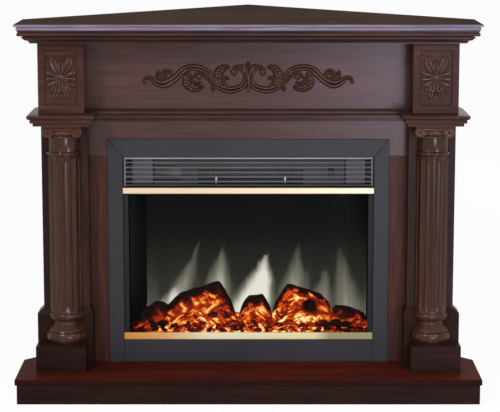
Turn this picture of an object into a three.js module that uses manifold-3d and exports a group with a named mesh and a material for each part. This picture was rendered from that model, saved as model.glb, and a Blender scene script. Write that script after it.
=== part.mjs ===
// Corner fireplace: a wooden mantel surround that stands in a room corner, with an electric log fire.
// Lengths are millimetres. The origin is on the floor in the middle of the footprint, +Z is up and
// the room side is -Y. Inside the assembly, y counts backwards from the shelf's front edge.

import * as THREE from 'three';
import { mergeVertices } from 'three/addons/utils/BufferGeometryUtils.js';
import Module from 'manifold-3d';

const wasm = await Module();
wasm.setup();

// ---- Driving dimensions -----------------------------------------------------------------------

// Clearances
const seam = 0.3; // between pieces that touch
const shaftPlay = 0.5; // round a shaft in its bearing

// Plan of the surround
const shelfWidth = 1220;
const shelfReturn = 190; // straight side edge of the shelf, before its 45 degree rear edge
const shelfLip = 6; // stand-out of the shelf's edge past the fascia under it
const crownReach = 49; // stand-out of the crown moulding past the blocks
const blockWidth = 121;
const blockDepth = 105; // frieze block, from its front to the panel behind
const pilasterDepth = 52;
const pilasterWidth = 125;
const boardThickness = 18;
const backThickness = 12;
const wallClearance = 10; // between the backs and the room's walls
const rearFlatWidth = 90; // the carcass corner is cut off to this width
const hearthOverhang = 12; // each side, past the shelf
const hearthForward = 26; // in front of the shelf
const hearthRearFlat = 80;
const plinthInset = 5;
const notchHalf = 20; // cord notch at the foot of the rear post

// Heights, from the floor up
const plinthHeight = 53;
const hearthThickness = 16;
const columnPedestalHeight = 72;
const notchHeight = 35;
const columnHeight = 564;
const capitalHeight = 34;
const architraveHeight = 33;
const blockHeight = 187;
const crownHeight = 36;
const fasciaHeight = 10;
const lipHeight = 6;

// Columns and pedestals
const shaftRadius = 43.5;
const shaftSides = 24;
const neckRadius = 42;
const ringRadius = 47.5;
const ringHeight = 11;
const neckHeight = 38;
const upperTorusRadius = 49;
const upperTorusHeight = 15;
const scotiaHeight = 17;
const flareHeight = 22; // from the scotia out to the lower torus
const lowerTorusRadius = 57;
const lowerTorusHeight = 24;
const baseFilletHeight = 6;
const fluteCount = 6;
const fluteRadius = 7;
const fluteStandOff = 3; // flute centre line outside the shaft
const fluteEndInset = 10;
const pedestalOuterReach = 17; // past the carcass side
const pedestalInnerReach = 8; // past the pilaster, towards the fire
const pedestalFrontReach = 9; // past the pilaster's face
const rearPedestalHeight = 151;
const pedestalBevel = 15;

// Capitals
const abacusHeight = 6;
const abacusOverhang = 7; // past the middle of each volute
const voluteReach = 41; // column axis to the middle of a volute
const capitalDepth = 50; // in front of the pilaster

// Carved pieces
const recessWidth = 85;
const recessHeight = 146;
const recessDepth = 6;
const rosetteWidth = 74;
const rosetteHeight = 118;
const carvingDepth = 7;
const overlayMargin = 152; // between the overlay's tips and the blocks
const overlayDrop = 8; // below the middle of the frieze

// Electric fire
const stileReveal = 48; // stile left showing between pilaster and trim
const headReveal = 50; // panel left showing between architrave and trim
const openingPlay = 3; // between the fire and the wooden opening
const trimThickness = 5;
const trimSideWidth = 41;
const trimTopHeight = 49;
const kickHeight = 63;
const lowerStripHeight = 20;
const upperStripHeight = 17;
const grilleHeight = 84;
const caseDepth = 225;
const sheet = 2; // sheet steel of the fire's case
const flangeWidth = 14;
const glassThickness = 4;
const glassRebate = 5;
const barCount = 6;
const barPitch = 13.2;
const barHeight = 3.6;
const barDepth = 8;
const pivotRadius = 2.5;
const pivotRise = 6; // flap pivot above the brass strip
const flapPlay = 1.5; // round the flap
const headGap = 5; // trim face to the middle of the flap
const panelSetback = 25; // controls behind the panel face
const outletWidth = 288;
const outletRise = 27; // outlet middle above the brass strip
const outletRows = 4;
const outletColumns = 12;
const outletHole = 4;
const outletPitchZ = 10.5;
const switchInset = 115; // from the fire's right edge
const switchRise = 38;
const switchWidth = 14;
const switchHeight = 20;
const blowerWidth = 330;
const blowerSetback = 85; // fan axle behind the control plate
const blowerRise = 44;
const blowerFloorGap = 8;
const motorRadius = 22;
const motorLength = 34;
const wheelRadius = 28;
const wheelBlades = 12;
const axleRadius = 3;
const screenSideGap = 56;
const screenSetback = 115;
const spindleSideGap = 66;
const spindleSetback = 48; // behind the screen
const spindleRise = 56;
const spindleRadius = 18;
const vaneCount = 10;
const emberSideGap = 16;
const emberDepth = 82;
const emberFrontGap = 8;
const logSetback = 58; // middle of the logs behind the glass line
const lampSetback = 15; // behind the screen
const lampSideGap = 141;
const glandRadius = 7.5;
const glandInset = 61; // from the fire's left edge
const glandRise = 30;
const cordBore = 3.6;

// ---- Places worked out from them --------------------------------------------------------------

const shelfHalf = shelfWidth / 2;
const apexY = shelfHalf + shelfReturn; // where the two wall lines meet
const carcassHalf = shelfHalf - shelfLip - crownReach;
const axisX = carcassHalf - blockWidth / 2; // column, capital and block centre line
const blockInner = carcassHalf - blockWidth;
const blockFront = shelfLip + crownReach;
const faceY = blockFront + blockDepth; // face of the panels
const pilasterFront = faceY - pilasterDepth;
const pilasterInner = carcassHalf - pilasterWidth;
const rearPedestalFront = pilasterFront - pedestalFrontReach;
const pedestalOuter = carcassHalf + pedestalOuterReach;
const pedestalFront = pilasterFront - lowerTorusRadius - 6;
const hearthHalf = shelfHalf + hearthOverhang;

const hearthTop = plinthHeight + hearthThickness;
const pedestalTop = hearthTop + columnPedestalHeight;
const capitalBottom = pedestalTop + columnHeight;
const architraveBottom = capitalBottom + capitalHeight;
const blockBottom = architraveBottom + architraveHeight;
const crownBottom = blockBottom + blockHeight;
const fasciaBottom = crownBottom + crownHeight;
const lipBottom = fasciaBottom + fasciaHeight;
const shelfTop = lipBottom + lipHeight;
const rearPedestalTop = hearthTop + rearPedestalHeight;
const pilasterBottom = rearPedestalTop + pedestalBevel;

const trimHalf = pilasterInner - stileReveal;
const fireHalf = trimHalf - trimSideWidth;
const kickTop = hearthTop + kickHeight;
const glassBottom = kickTop + lowerStripHeight;
const trimTop = architraveBottom - headReveal;
const fireTop = trimTop - trimTopHeight;
const grilleBottom = fireTop - grilleHeight;
const glassTop = grilleBottom - upperStripHeight;
const caseFront = faceY + seam;
const caseRear = faceY + caseDepth;
const floorTop = kickTop + sheet;
const flapAxis = { y: faceY + headGap - 0.5, z: grilleBottom + pivotRise };
const behindFlap = flapAxis.y + barDepth / 2 + flapPlay;
const panelY = faceY + panelSetback;
const outletZ = grilleBottom + outletRise;
const switchX = fireHalf - switchInset;
const switchZ = grilleBottom + switchRise;
const blowerAxis = { y: panelY + blowerSetback, z: grilleBottom + blowerRise };
const screenY = faceY + screenSetback;
const screenHalf = fireHalf - screenSideGap;
const spindleAxis = { y: screenY + spindleSetback, z: floorTop + spindleRise };
const spindleHalf = fireHalf - spindleSideGap;
const logY = caseFront + logSetback;

// Rear line of the unit at half width x, a distance inset in from the room's wall.
const wallY = (x, inset = 0) => apexY - x - inset * Math.SQRT2;

// ---- Materials --------------------------------------------------------------------------------

const material = (color, roughness, metalness) =>
  new THREE.MeshStandardMaterial({ color, roughness, metalness });
const mahogany = material(0x3e2823, 0.4, 0);
const carvedWood = material(0x4a3029, 0.4, 0);
const plainBoard = material(0x3a2a20, 0.7, 0);
const charcoalSteel = material(0x38383a, 0.5, 0.4);
const blackSteel = material(0x141414, 0.6, 0.4);
const brass = material(0xdcc68c, 0.3, 0.9);
const clearGlass = new THREE.MeshStandardMaterial({
  color: 0x9aa0a0, roughness: 0.05, metalness: 0, transparent: true, opacity: 0.3,
});
const screenPlastic = material(0x0c0c0e, 0.4, 0);
const emberPlastic = material(0xd0581a, 0.6, 0);
const logResin = material(0x3a2c24, 0.85, 0);
const blackPlastic = material(0x18181a, 0.5, 0);
const ceramic = material(0xcfc8ba, 0.6, 0);
const brightSteel = material(0xb0b2b4, 0.3, 0.9);

// ---- Geometry helpers -------------------------------------------------------------------------

// A closed solid from a geometry, for joining and cutting.
function solidOf(geometry) {
  const bare = geometry.clone();
  bare.deleteAttribute('normal');
  bare.deleteAttribute('uv');
  const merged = mergeVertices(bare, 1e-4);
  return new wasm.Manifold(new wasm.Mesh({
    numProp: 3,
    vertProperties: merged.attributes.position.array,
    triVerts: new Uint32Array(merged.index.array),
  }));
}

// The geometry of a joined or cut solid.
function geometryOf(solid) {
  const mesh = solid.getMesh();
  const geometry = new THREE.BufferGeometry();
  geometry.setAttribute('position', new THREE.BufferAttribute(mesh.vertProperties, 3));
  geometry.setIndex(new THREE.BufferAttribute(mesh.triVerts, 1));
  geometry.computeVertexNormals();
  return geometry;
}

const join = (...pieces) =>
  geometryOf(pieces.map(solidOf).reduce((whole, piece) => whole.add(piece)));
const cut = (body, ...tools) =>
  geometryOf(tools.map(solidOf).reduce((rest, tool) => rest.subtract(tool), solidOf(body)));

// A box between two corners, given as [low, high] along each axis.
function box([x0, x1], [y0, y1], [z0, z1]) {
  const geometry = new THREE.BoxGeometry(x1 - x0, y1 - y0, z1 - z0);
  return geometry.translate((x0 + x1) / 2, (y0 + y1) / 2, (z0 + z1) / 2);
}

function shapeOf(points) {
  return new THREE.Shape(points.map(([a, b]) => new THREE.Vector2(a, b)));
}

// An outline [x, y] raised from z0 to z1.
function plate(outline, z0, z1) {
  const geometry = new THREE.ExtrudeGeometry(shapeOf(outline), { depth: z1 - z0, bevelEnabled: false });
  return geometry.translate(0, 0, z0);
}

// An outline [x, z] drawn back from y0 to y1.
function frontPlate(outline, y0, y1) {
  const geometry = new THREE.ExtrudeGeometry(shapeOf(outline), { depth: y1 - y0, bevelEnabled: false });
  return geometry.rotateX(Math.PI / 2).translate(0, y1, 0);
}

// An outline [y, z] drawn sideways from x0 to x1.
function sidePlate(outline, x0, x1) {
  const geometry = new THREE.ExtrudeGeometry(shapeOf(outline), { depth: x1 - x0, bevelEnabled: false });
  const turn = new THREE.Matrix4().makeBasis(
    new THREE.Vector3(0, 1, 0), new THREE.Vector3(0, 0, 1), new THREE.Vector3(1, 0, 0),
  );
  return geometry.applyMatrix4(turn).translate(x0, 0, 0);
}

// A round bar along X.
function barX(radius, x0, x1, y, z, sides = 16) {
  const geometry = new THREE.CylinderGeometry(radius, radius, x1 - x0, sides);
  return geometry.rotateZ(Math.PI / 2).translate((x0 + x1) / 2, y, z);
}

// A round bar along Y.
function barY(radius, y0, y1, x, z, sides = 16) {
  const geometry = new THREE.CylinderGeometry(radius, radius, y1 - y0, sides);
  return geometry.translate(x, (y0 + y1) / 2, z);
}

// The mirror image of a geometry across x = 0, with its faces still outward.
function mirrored(geometry) {
  const copy = geometry.index ? geometry.toNonIndexed() : geometry.clone();
  const position = copy.attributes.position;
  for (let i = 0; i < position.count; i += 3) {
    const [a, c] = [i, i + 2].map((k) => new THREE.Vector3().fromBufferAttribute(position, k));
    position.setXYZ(i, -c.x, c.y, c.z);
    position.setX(i + 1, -position.getX(i + 1));
    position.setXYZ(i + 2, -a.x, a.y, a.z);
  }
  copy.deleteAttribute('uv');
  copy.deleteAttribute('normal');
  const merged = mergeVertices(copy, 1e-4);
  merged.computeVertexNormals();
  return merged;
}

// A closed skin through rings of points, with each end filled in.
function skin(rings) {
  const size = rings[0].length;
  const positions = rings.flat(2);
  const indices = [];
  for (let r = 0; r < rings.length - 1; r += 1) {
    for (let k = 0; k < size; k += 1) {
      const a = r * size + k;
      const b = r * size + ((k + 1) % size);
      indices.push(a, b, b + size, a, b + size, a + size);
    }
  }
  const ends = [[0, true], [(rings.length - 1) * size, false]];
  for (const [offset, flip] of ends) {
    const ring = rings[offset / size].map((point) => new THREE.Vector3(...point));
    for (const [a, b, c] of fillRing(ring)) {
      indices.push(offset + a, offset + (flip ? c : b), offset + (flip ? b : c));
    }
  }
  const geometry = new THREE.BufferGeometry();
  geometry.setAttribute('position', new THREE.Float32BufferAttribute(positions, 3));
  geometry.setIndex(indices);
  return facingOut(geometry);
}

// Triangles that fill one flat ring, turning the same way as the ring.
function fillRing(ring) {
  const normal = new THREE.Vector3();
  ring.forEach((point, k) => {
    const next = ring[(k + 1) % ring.length];
    normal.add(new THREE.Vector3().crossVectors(point, next));
  });
  normal.normalize();
  const across = new THREE.Vector3().subVectors(ring[1], ring[0]).normalize();
  const up = new THREE.Vector3().crossVectors(normal, across);
  const flat = ring.map((point) => new THREE.Vector2(point.dot(across), point.dot(up)));
  return THREE.ShapeUtils.triangulateShape(flat, []);
}

// Turns a closed geometry inside out where its faces point inwards.
function facingOut(geometry) {
  const { position } = geometry.attributes;
  const corner = (k) => new THREE.Vector3().fromBufferAttribute(position, geometry.index.getX(k));
  let volume = 0;
  for (let k = 0; k < geometry.index.count; k += 3) {
    volume += corner(k).dot(new THREE.Vector3().crossVectors(corner(k + 1), corner(k + 2)));
  }
  if (volume < 0) {
    const order = Array.from(geometry.index.array);
    geometry.setIndex(order.map((_, k) => order[k - (k % 3) + [0, 2, 1][k % 3]]));
  }
  geometry.computeVertexNormals();
  return geometry;
}

// A moulding: its section [stand-out, z] carried past stations, each a point [x, y] on the wall
// face and the [x, y] step that one unit of stand-out makes there, which sets the mitre.
function moulding(section, stations) {
  return skin(stations.map(({ at, step }) =>
    section.map(([out, z]) => [at[0] + out * step[0], at[1] + out * step[1], z])));
}

// Rectangles [x0, x1, y0, y1, z] stacked into one block.
function stackedRectangles(levels) {
  return skin(levels.map(([x0, x1, y0, y1, z]) => [[x0, y0, z], [x1, y0, z], [x1, y1, z], [x0, y1, z]]));
}

// Points along an arc [a, b] about a centre, with its own radius along each axis.
function arc([ca, cb], [ra, rb], fromDegrees, toDegrees, steps) {
  return Array.from({ length: steps + 1 }, (_, k) => {
    const angle = THREE.MathUtils.degToRad(fromDegrees + ((toDegrees - fromDegrees) * k) / steps);
    return [ca + ra * Math.cos(angle), cb + rb * Math.sin(angle)];
  });
}

function addMesh(parent, name, geometry, finish) {
  const mesh = new THREE.Mesh(geometry, finish);
  mesh.name = name;
  parent.add(mesh);
  return mesh;
}

const sides = [['left', -1], ['right', 1]];

// Adds a piece modelled for the right side, and its mirror image on the left.
function addPair(parent, name, geometry, finish) {
  addMesh(parent, `${name}_left`, mirrored(geometry), finish);
  addMesh(parent, `${name}_right`, geometry, finish);
}

// ---- Hearth and carcass -----------------------------------------------------------------------

// Outline of a slab that fills the corner: front edge, side edges, 45 degree rears, cut-off apex.
function cornerOutline(half, front, inset, rearHalf) {
  const rearY = wallY(rearHalf, inset);
  const right = [[half, front], [half, wallY(half, inset)], [rearHalf, rearY]];
  return [...right, ...right.map(([x, y]) => [-x, y]).reverse()];
}

function hearthBoard() {
  return plate(cornerOutline(hearthHalf, -hearthForward, 0, hearthRearFlat / 2), plinthHeight, hearthTop);
}

function plinthFront() {
  const half = hearthHalf - plinthInset;
  const front = plinthInset - hearthForward;
  return box([-half, half], [front, front + boardThickness], [0, plinthHeight - seam]);
}

// Side skirt board with its 45 degree run to the corner.
function plinthSide() {
  const outer = hearthHalf - plinthInset;
  const inner = outer - boardThickness;
  const start = plinthInset - hearthForward + boardThickness + seam;
  const innerInset = plinthInset + boardThickness;
  const rear = wallY(hearthRearFlat / 2) - plinthInset;
  const rearOuter = wallY(0, plinthInset) - rear;
  const rearInner = wallY(0, innerInset) - (rear - boardThickness);
  return plate([
    [outer, start], [outer, wallY(outer, plinthInset)], [rearOuter, rear], [seam / 2, rear],
    [seam / 2, rear - boardThickness], [rearInner, rear - boardThickness],
    [inner, wallY(inner, innerInset)], [inner, start],
  ], 0, plinthHeight - seam);
}

function sidePanel() {
  const start = faceY + boardThickness + seam;
  const inner = carcassHalf - boardThickness;
  return plate([
    [carcassHalf, start], [carcassHalf, wallY(carcassHalf, wallClearance)],
    [inner, wallY(inner, wallClearance)], [inner, start],
  ], hearthTop + seam, fasciaBottom - seam);
}

const postRear = wallY(rearFlatWidth / 2, wallClearance);
const postFront = postRear - boardThickness;

function backPanel() {
  const edge = carcassHalf - boardThickness - seam;
  const innerInset = wallClearance + backThickness;
  const end = postFront - seam;
  return plate([
    [edge, wallY(edge, wallClearance)], [wallY(0, wallClearance) - end, end],
    [wallY(0, innerInset) - end, end], [edge, wallY(edge, innerInset)],
  ], hearthTop + seam, fasciaBottom - seam);
}

// Rear post with a notch at its foot that lets the supply cord out.
function rearPost() {
  const frontHalf = wallY(0, wallClearance) - postFront;
  const rearHalf = rearFlatWidth / 2;
  const post = plate(
    [[-frontHalf, postFront], [frontHalf, postFront], [rearHalf, postRear], [-rearHalf, postRear]],
    hearthTop + seam, fasciaBottom - seam,
  );
  const notch = box([-notchHalf, notchHalf], [postFront - 1, postRear + 1],
    [plinthHeight, hearthTop + notchHeight]);
  return cut(post, notch);
}

const openingHalf = fireHalf + openingPlay;
const openingTop = fireTop + openingPlay;

function faceStile() {
  return box([openingHalf, carcassHalf], [faceY, faceY + boardThickness],
    [hearthTop + seam, openingTop - seam]);
}

function friezePanel() {
  return box([-carcassHalf, carcassHalf], [faceY, faceY + boardThickness],
    [openingTop, fasciaBottom - seam]);
}

function carcass() {
  const group = new THREE.Group();
  addMesh(group, 'hearth_board', hearthBoard(), mahogany);
  addMesh(group, 'plinth_front', plinthFront(), mahogany);
  addPair(group, 'plinth', plinthSide(), mahogany);
  addPair(group, 'side_panel', sidePanel(), mahogany);
  addPair(group, 'back_panel', backPanel(), plainBoard);
  addMesh(group, 'rear_post', rearPost(), plainBoard);
  addPair(group, 'face_stile', faceStile(), mahogany);
  addMesh(group, 'frieze_panel', friezePanel(), mahogany);
  return group;
}

// ---- Columns and pedestals --------------------------------------------------------------------

function pilaster() {
  return box([pilasterInner, carcassHalf], [pilasterFront, faceY - seam],
    [pilasterBottom + seam, architraveBottom - seam]);
}

function rearPedestal() {
  const inner = pilasterInner - pedestalInnerReach;
  const back = faceY - seam;
  return stackedRectangles([
    [inner, pedestalOuter, rearPedestalFront, back, hearthTop + seam],
    [inner, pedestalOuter, rearPedestalFront, back, rearPedestalTop],
    [pilasterInner, carcassHalf, pilasterFront, back, pilasterBottom],
  ]);
}

function columnPedestal() {
  return box([axisX - lowerTorusRadius, pedestalOuter], [pedestalFront, rearPedestalFront - seam],
    [hearthTop + seam, pedestalTop]);
}

// Half section [radius, z] of the column about its axis, from the pedestal to the capital.
function columnSection() {
  const z0 = pedestalTop + seam;
  const lowerTorusZ = z0 + baseFilletHeight + lowerTorusHeight / 2;
  const flareZ = lowerTorusZ + lowerTorusHeight / 2;
  const scotiaZ = flareZ + flareHeight;
  const upperTorusZ = scotiaZ + scotiaHeight + upperTorusHeight / 2;
  const shaftZ = upperTorusZ + upperTorusHeight / 2;
  const top = capitalBottom - seam;
  const ringZ = top - neckHeight - ringHeight / 2;
  const flareFoot = lowerTorusRadius - 6;
  const flareTop = shaftRadius - 2;
  return {
    shaftBottom: shaftZ,
    shaftTop: ringZ - ringHeight / 2,
    points: [
      [0, z0], [lowerTorusRadius - 3, z0], [lowerTorusRadius - 3, z0 + baseFilletHeight],
      ...arc([flareFoot, lowerTorusZ], [lowerTorusRadius - flareFoot, lowerTorusHeight / 2], -90, 90, 6),
      ...arc([flareFoot + 1, scotiaZ], [flareTop - flareFoot - 1, -flareHeight + 1], 80, 0, 4),
      ...arc([flareTop, scotiaZ + scotiaHeight / 2], [-3, scotiaHeight / 2 - 2], -80, 80, 4),
      [shaftRadius + 1.5, scotiaZ + scotiaHeight - 1],
      ...arc([shaftRadius, upperTorusZ],
        [upperTorusRadius - shaftRadius, upperTorusHeight / 2], -90, 90, 4),
      [shaftRadius, ringZ - ringHeight / 2 - 1],
      ...arc([neckRadius, ringZ], [ringRadius - neckRadius, ringHeight / 2], -90, 90, 4),
      [neckRadius, top], [0, top],
    ],
  };
}

// Fluted half column with its turned base, ring and neck, cut flat where it meets the boards.
function column() {
  const section = columnSection();
  const turned = new THREE.LatheGeometry(
    section.points.map(([r, z]) => new THREE.Vector2(r, z)), shaftSides,
  ).rotateX(Math.PI / 2);
  const fluteLength = section.shaftTop - section.shaftBottom - 2 * fluteEndInset;
  const flutes = Array.from({ length: fluteCount }, (_, k) => {
    const angle = Math.PI * ((k + 1) / (fluteCount + 1));
    const flute = new THREE.CapsuleGeometry(fluteRadius, fluteLength - 2 * fluteRadius, 2, 8);
    return flute.rotateX(Math.PI / 2).translate(
      axisX + (shaftRadius + fluteStandOff) * Math.cos(angle),
      pilasterFront - (shaftRadius + fluteStandOff) * Math.sin(angle),
      (section.shaftTop + section.shaftBottom) / 2,
    );
  });
  const reach = 2 * lowerTorusRadius;
  const span = [axisX - reach, axisX + reach];
  return cut(
    turned.translate(axisX, pilasterFront, 0),
    box(span, [pilasterFront - seam, pilasterFront + reach], [0, shelfTop]),
    box(span, [rearPedestalFront - seam, pilasterFront + reach], [0, pilasterBottom + seam]),
    ...flutes,
  );
}

// Spiral band of a volute in the x-z plane, turning in to its eye.
function volute(centreX, centreZ, radius, hand, front) {
  const turns = 1.75;
  const steps = 18;
  const eye = 0.22 * radius;
  const band = 0.2 * radius;
  const outer = [];
  const inner = [];
  for (let k = 0; k <= steps; k += 1) {
    const share = k / steps;
    const angle = Math.PI / 2 - hand * share * turns * 2 * Math.PI;
    const r = radius + (eye - radius) * share;
    const width = band * (1 - 0.5 * share);
    outer.push([centreX + r * Math.cos(angle), centreZ + r * Math.sin(angle)]);
    inner.push([centreX + (r - width) * Math.cos(angle), centreZ + (r - width) * Math.sin(angle)]);
  }
  return frontPlate([...outer, ...inner.reverse()], front, front + 3.5);
}

// Ionic capital: abacus, two volutes on round bolsters, and the echinus between them.
function capital() {
  const bottom = capitalBottom;
  const top = architraveBottom - seam;
  const voluteRadius = (capitalHeight - abacusHeight) / 2 + 0.5;
  const voluteZ = bottom + voluteRadius;
  const back = pilasterFront - seam;
  const front = pilasterFront - capitalDepth;
  const abacusHalf = voluteReach + abacusOverhang;
  const canalisBottom = voluteZ + 3;
  const abacus = box([axisX - abacusHalf, axisX + abacusHalf], [front - 1, back], [top - abacusHeight, top]);
  const canalis = box([axisX - voluteReach, axisX + voluteReach], [front + 2, back],
    [canalisBottom, top - abacusHeight + 1]);
  const echinus = new THREE.LatheGeometry([
    [0, bottom], [neckRadius, bottom], [neckRadius + 5, bottom + 7], [neckRadius + 6, bottom + 14],
    [neckRadius + 3, bottom + 20], [0, bottom + 20],
  ].map(([r, z]) => new THREE.Vector2(r, z)), shaftSides).rotateX(Math.PI / 2)
    .translate(axisX, pilasterFront, 0);
  const bolsters = sides.flatMap(([, hand]) => {
    const x = axisX + hand * voluteReach;
    return [
      barY(voluteRadius - 1, front + 2, back, x, voluteZ, 20),
      barY(3.5, front - 1.5, front + 3, x, voluteZ, 10),
      volute(x, voluteZ, voluteRadius, hand, front),
    ];
  });
  const behind = box([0, shelfHalf], [back, faceY + blockDepth], [0, shelfTop]);
  return geometryOf(solidOf(join(abacus, canalis, echinus, ...bolsters)).subtract(solidOf(behind)));
}

function frontOrders() {
  const group = new THREE.Group();
  addPair(group, 'pilaster', pilaster(), mahogany);
  addPair(group, 'rear_pedestal', rearPedestal(), mahogany);
  addPair(group, 'column_pedestal', columnPedestal(), mahogany);
  addPair(group, 'column', column(), mahogany);
  addPair(group, 'capital', capital(), carvedWood);
  return group;
}

// ---- Carving ----------------------------------------------------------------------------------

// A flat leaf or band: a curve through [x, z, width] knots, with its width blended along it.
function band(knots, front, back, steps = 11) {
  const path = new THREE.CatmullRomCurve3(knots.map(([x, z, width]) => new THREE.Vector3(x, z, width)));
  const left = [];
  const right = [];
  for (let k = 0; k <= steps; k += 1) {
    const at = path.getPoint(k / steps);
    const along = path.getTangent(k / steps).setZ(0).normalize();
    const half = Math.max(at.z, 0.8) / 2;
    left.push([at.x - along.y * half, at.y + along.x * half]);
    right.push([at.x + along.y * half, at.y - along.x * half]);
  }
  return frontPlate([...left, ...right.reverse()], front, back);
}

// Acanthus rosette: four long corner leaves, two upright petals, two side curls and a boss.
function rosette() {
  const back = blockFront + recessDepth - seam;
  const front = back - carvingDepth;
  const z = (blockBottom + crownBottom) / 2;
  const bossRadius = 10.5;
  const pieces = [];
  for (const [, a] of sides) {
    for (const [, b] of sides) {
      pieces.push(band([
        [axisX, z, 8], [axisX + 0.22 * a * rosetteWidth, z + 0.2 * b * rosetteHeight, 20],
        [axisX + 0.36 * a * rosetteWidth, z + 0.36 * b * rosetteHeight, 19],
        [axisX + 0.4 * a * rosetteWidth, z + 0.49 * b * rosetteHeight, 5],
      ], front + 1, back, 8));
    }
    pieces.push(band([
      [axisX, z, 10], [axisX, z + 0.2 * a * rosetteHeight, 13],
      [axisX, z + 0.38 * a * rosetteHeight, 1],
    ], front, back, 6));
    pieces.push(band([
      [axisX, z, 7], [axisX + 0.3 * a * rosetteWidth, z + 2, 9],
      [axisX + 0.42 * a * rosetteWidth, z - 5, 12], [axisX + 0.36 * a * rosetteWidth, z - 13, 4],
    ], front + 1, back, 6));
  }
  pieces.push(barY(bossRadius, front - 1, back, axisX, z, 16));
  return join(...pieces);
}

// Acanthus scroll applique. The knots are [x, z, width] from its middle, for the left half.
function carvedOverlay() {
  const back = faceY - seam;
  const front = back - carvingDepth;
  const middle = (blockBottom + crownBottom) / 2 - overlayDrop;
  const drawnHalf = 281; // half width that the knots are drawn at
  const scale = (blockInner - overlayMargin - 0.5) / drawnHalf;
  const ring = arc([-33, -6], [26, 29], 110, -150, 10).map(([x, z]) => [x, z, 9]);
  const scrolls = [
    [...ring, [-72, -34, 10], [-94, -36, 5]],
    [[-78, -20, 5], [-104, 8, 10], [-146, 28, 12], [-182, -4, 11], [-216, -28, 12], [-252, -22, 10],
      [-281, -6, 4]],
    [[-150, 26, 8], [-176, -6, 14], [-166, -30, 16], [-140, -36, 12], [-122, -22, 3]],
    [[-110, 6, 6], [-132, 12, 9], [-142, -2, 11]],
    [[-66, -34, 10], [-80, -12, 16], [-80, 10, 18], [-64, 30, 3]],
    [[-206, -22, 6], [-228, -4, 8], [-216, 10, 11], [-206, 2, 10]],
    [[-232, -24, 10], [-246, -4, 11], [-250, 12, 2]],
  ];
  const halves = scrolls.map((knots) =>
    band(knots.map(([x, z, w]) => [x * scale, middle + z * scale, w * scale]), front, back));
  const finial = band([[0, middle - 42, 8], [0, middle - 10, 20], [0, middle + 14, 14],
    [0, middle + 30, 16], [0, middle + 43, 2]], front - 1, back, 10);
  return join(finial, ...halves, ...halves.map(mirrored));
}

// ---- Entablature ------------------------------------------------------------------------------

function friezeBlock() {
  const middle = (blockBottom + crownBottom) / 2;
  const block = box([blockInner, carcassHalf], [blockFront, faceY - seam], [blockBottom, crownBottom - seam]);
  const recess = box([axisX - recessWidth / 2, axisX + recessWidth / 2],
    [blockFront - 1, blockFront + recessDepth],
    [middle - recessHeight / 2, middle + recessHeight / 2]);
  return cut(block, recess);
}

// Stepped section [stand-out, z] of the architrave moulding.
function architraveSection() {
  const z = architraveBottom;
  const top = blockBottom - seam;
  return [
    [seam, z], [14, z], [14, z + 9], [21, z + 9], [21, z + 18], [28.5, z + 22], [28.5, z + 29],
    [4, top], [seam, top],
  ];
}

function architraveCentre() {
  const half = blockInner - 1.5 * seam;
  const y = faceY;
  return moulding(architraveSection(), [
    { at: [-half, y], step: [1, -1] },
    { at: [half, y], step: [-1, -1] },
  ]);
}

// Architrave round one block, on a solid core that carries the block.
function architraveSide() {
  const run = moulding(architraveSection(), [
    { at: [blockInner, faceY - seam], step: [-1, -1] },
    { at: [blockInner, blockFront], step: [-1, -1] },
    { at: [carcassHalf, blockFront], step: [1, -1] },
    { at: [carcassHalf, wallY(carcassHalf, wallClearance)], step: [1, -1] },
  ]);
  const lap = 2;
  const core = box([blockInner - lap, carcassHalf + lap], [blockFront - lap, faceY - lap - seam],
    [architraveBottom, blockBottom - seam]);
  return join(run, core);
}

// Points along an S-shaped curve between two corners of a section.
function cyma([a0, b0], [a1, b1], steps) {
  return Array.from({ length: steps + 1 }, (_, k) => {
    const share = k / steps;
    const swing = share + 0.13 * Math.sin(2 * Math.PI * share);
    return [a0 + (a1 - a0) * share, b0 + (b1 - b0) * swing];
  });
}

// Cyma below, cove above: section [stand-out, z] of the crown.
function crownSection() {
  const bottom = crownBottom;
  const top = fasciaBottom - seam;
  const reach = crownReach - 1;
  return [
    [seam, bottom], [18, bottom],
    ...cyma([18, bottom + 2.5], [34, bottom + 17], 6),
    [36, bottom + 17],
    ...arc([reach, bottom + 20], [-12, crownHeight - 22], 0, 90, 6),
    [reach, top], [seam, top],
  ];
}

function crownFront() {
  const half = carcassHalf - seam;
  return moulding(crownSection(), [
    { at: [-half, blockFront], step: [-1, -1] },
    { at: [half, blockFront], step: [1, -1] },
  ]);
}

function crownSide() {
  return moulding(crownSection(), [
    { at: [carcassHalf, blockFront + seam], step: [1, -1] },
    { at: [carcassHalf, wallY(carcassHalf, wallClearance)], step: [1, -1] },
  ]);
}

// Built-up shelf: lipped top, fascia under it, and a core that the crown wraps round.
function mantelShelf() {
  const fasciaHalf = shelfHalf - shelfLip;
  const lip = plate([[-shelfHalf, 0], [shelfHalf, 0], [shelfHalf, wallY(shelfHalf)], [0, apexY],
    [-shelfHalf, wallY(shelfHalf)]], lipBottom, shelfTop);
  const fascia = plate([[-fasciaHalf, shelfLip], [fasciaHalf, shelfLip], [fasciaHalf, wallY(fasciaHalf)],
    [0, apexY], [-fasciaHalf, wallY(fasciaHalf)]], fasciaBottom, lipBottom);
  const core = box([-carcassHalf, carcassHalf], [blockFront + seam, faceY - seam],
    [crownBottom, fasciaBottom]);
  return join(lip, fascia, core);
}

function entablature() {
  const group = new THREE.Group();
  addPair(group, 'frieze_block', friezeBlock(), mahogany);
  addPair(group, 'rosette', rosette(), carvedWood);
  addMesh(group, 'carved_overlay', carvedOverlay(), carvedWood);
  addMesh(group, 'architrave_centre', architraveCentre(), mahogany);
  addPair(group, 'architrave', architraveSide(), mahogany);
  addMesh(group, 'crown_front', crownFront(), mahogany);
  addPair(group, 'crown', crownSide(), mahogany);
  addMesh(group, 'mantel_shelf', mantelShelf(), mahogany);
  return group;
}

// ---- Electric fire: trim, case and glass ------------------------------------------------------

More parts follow.
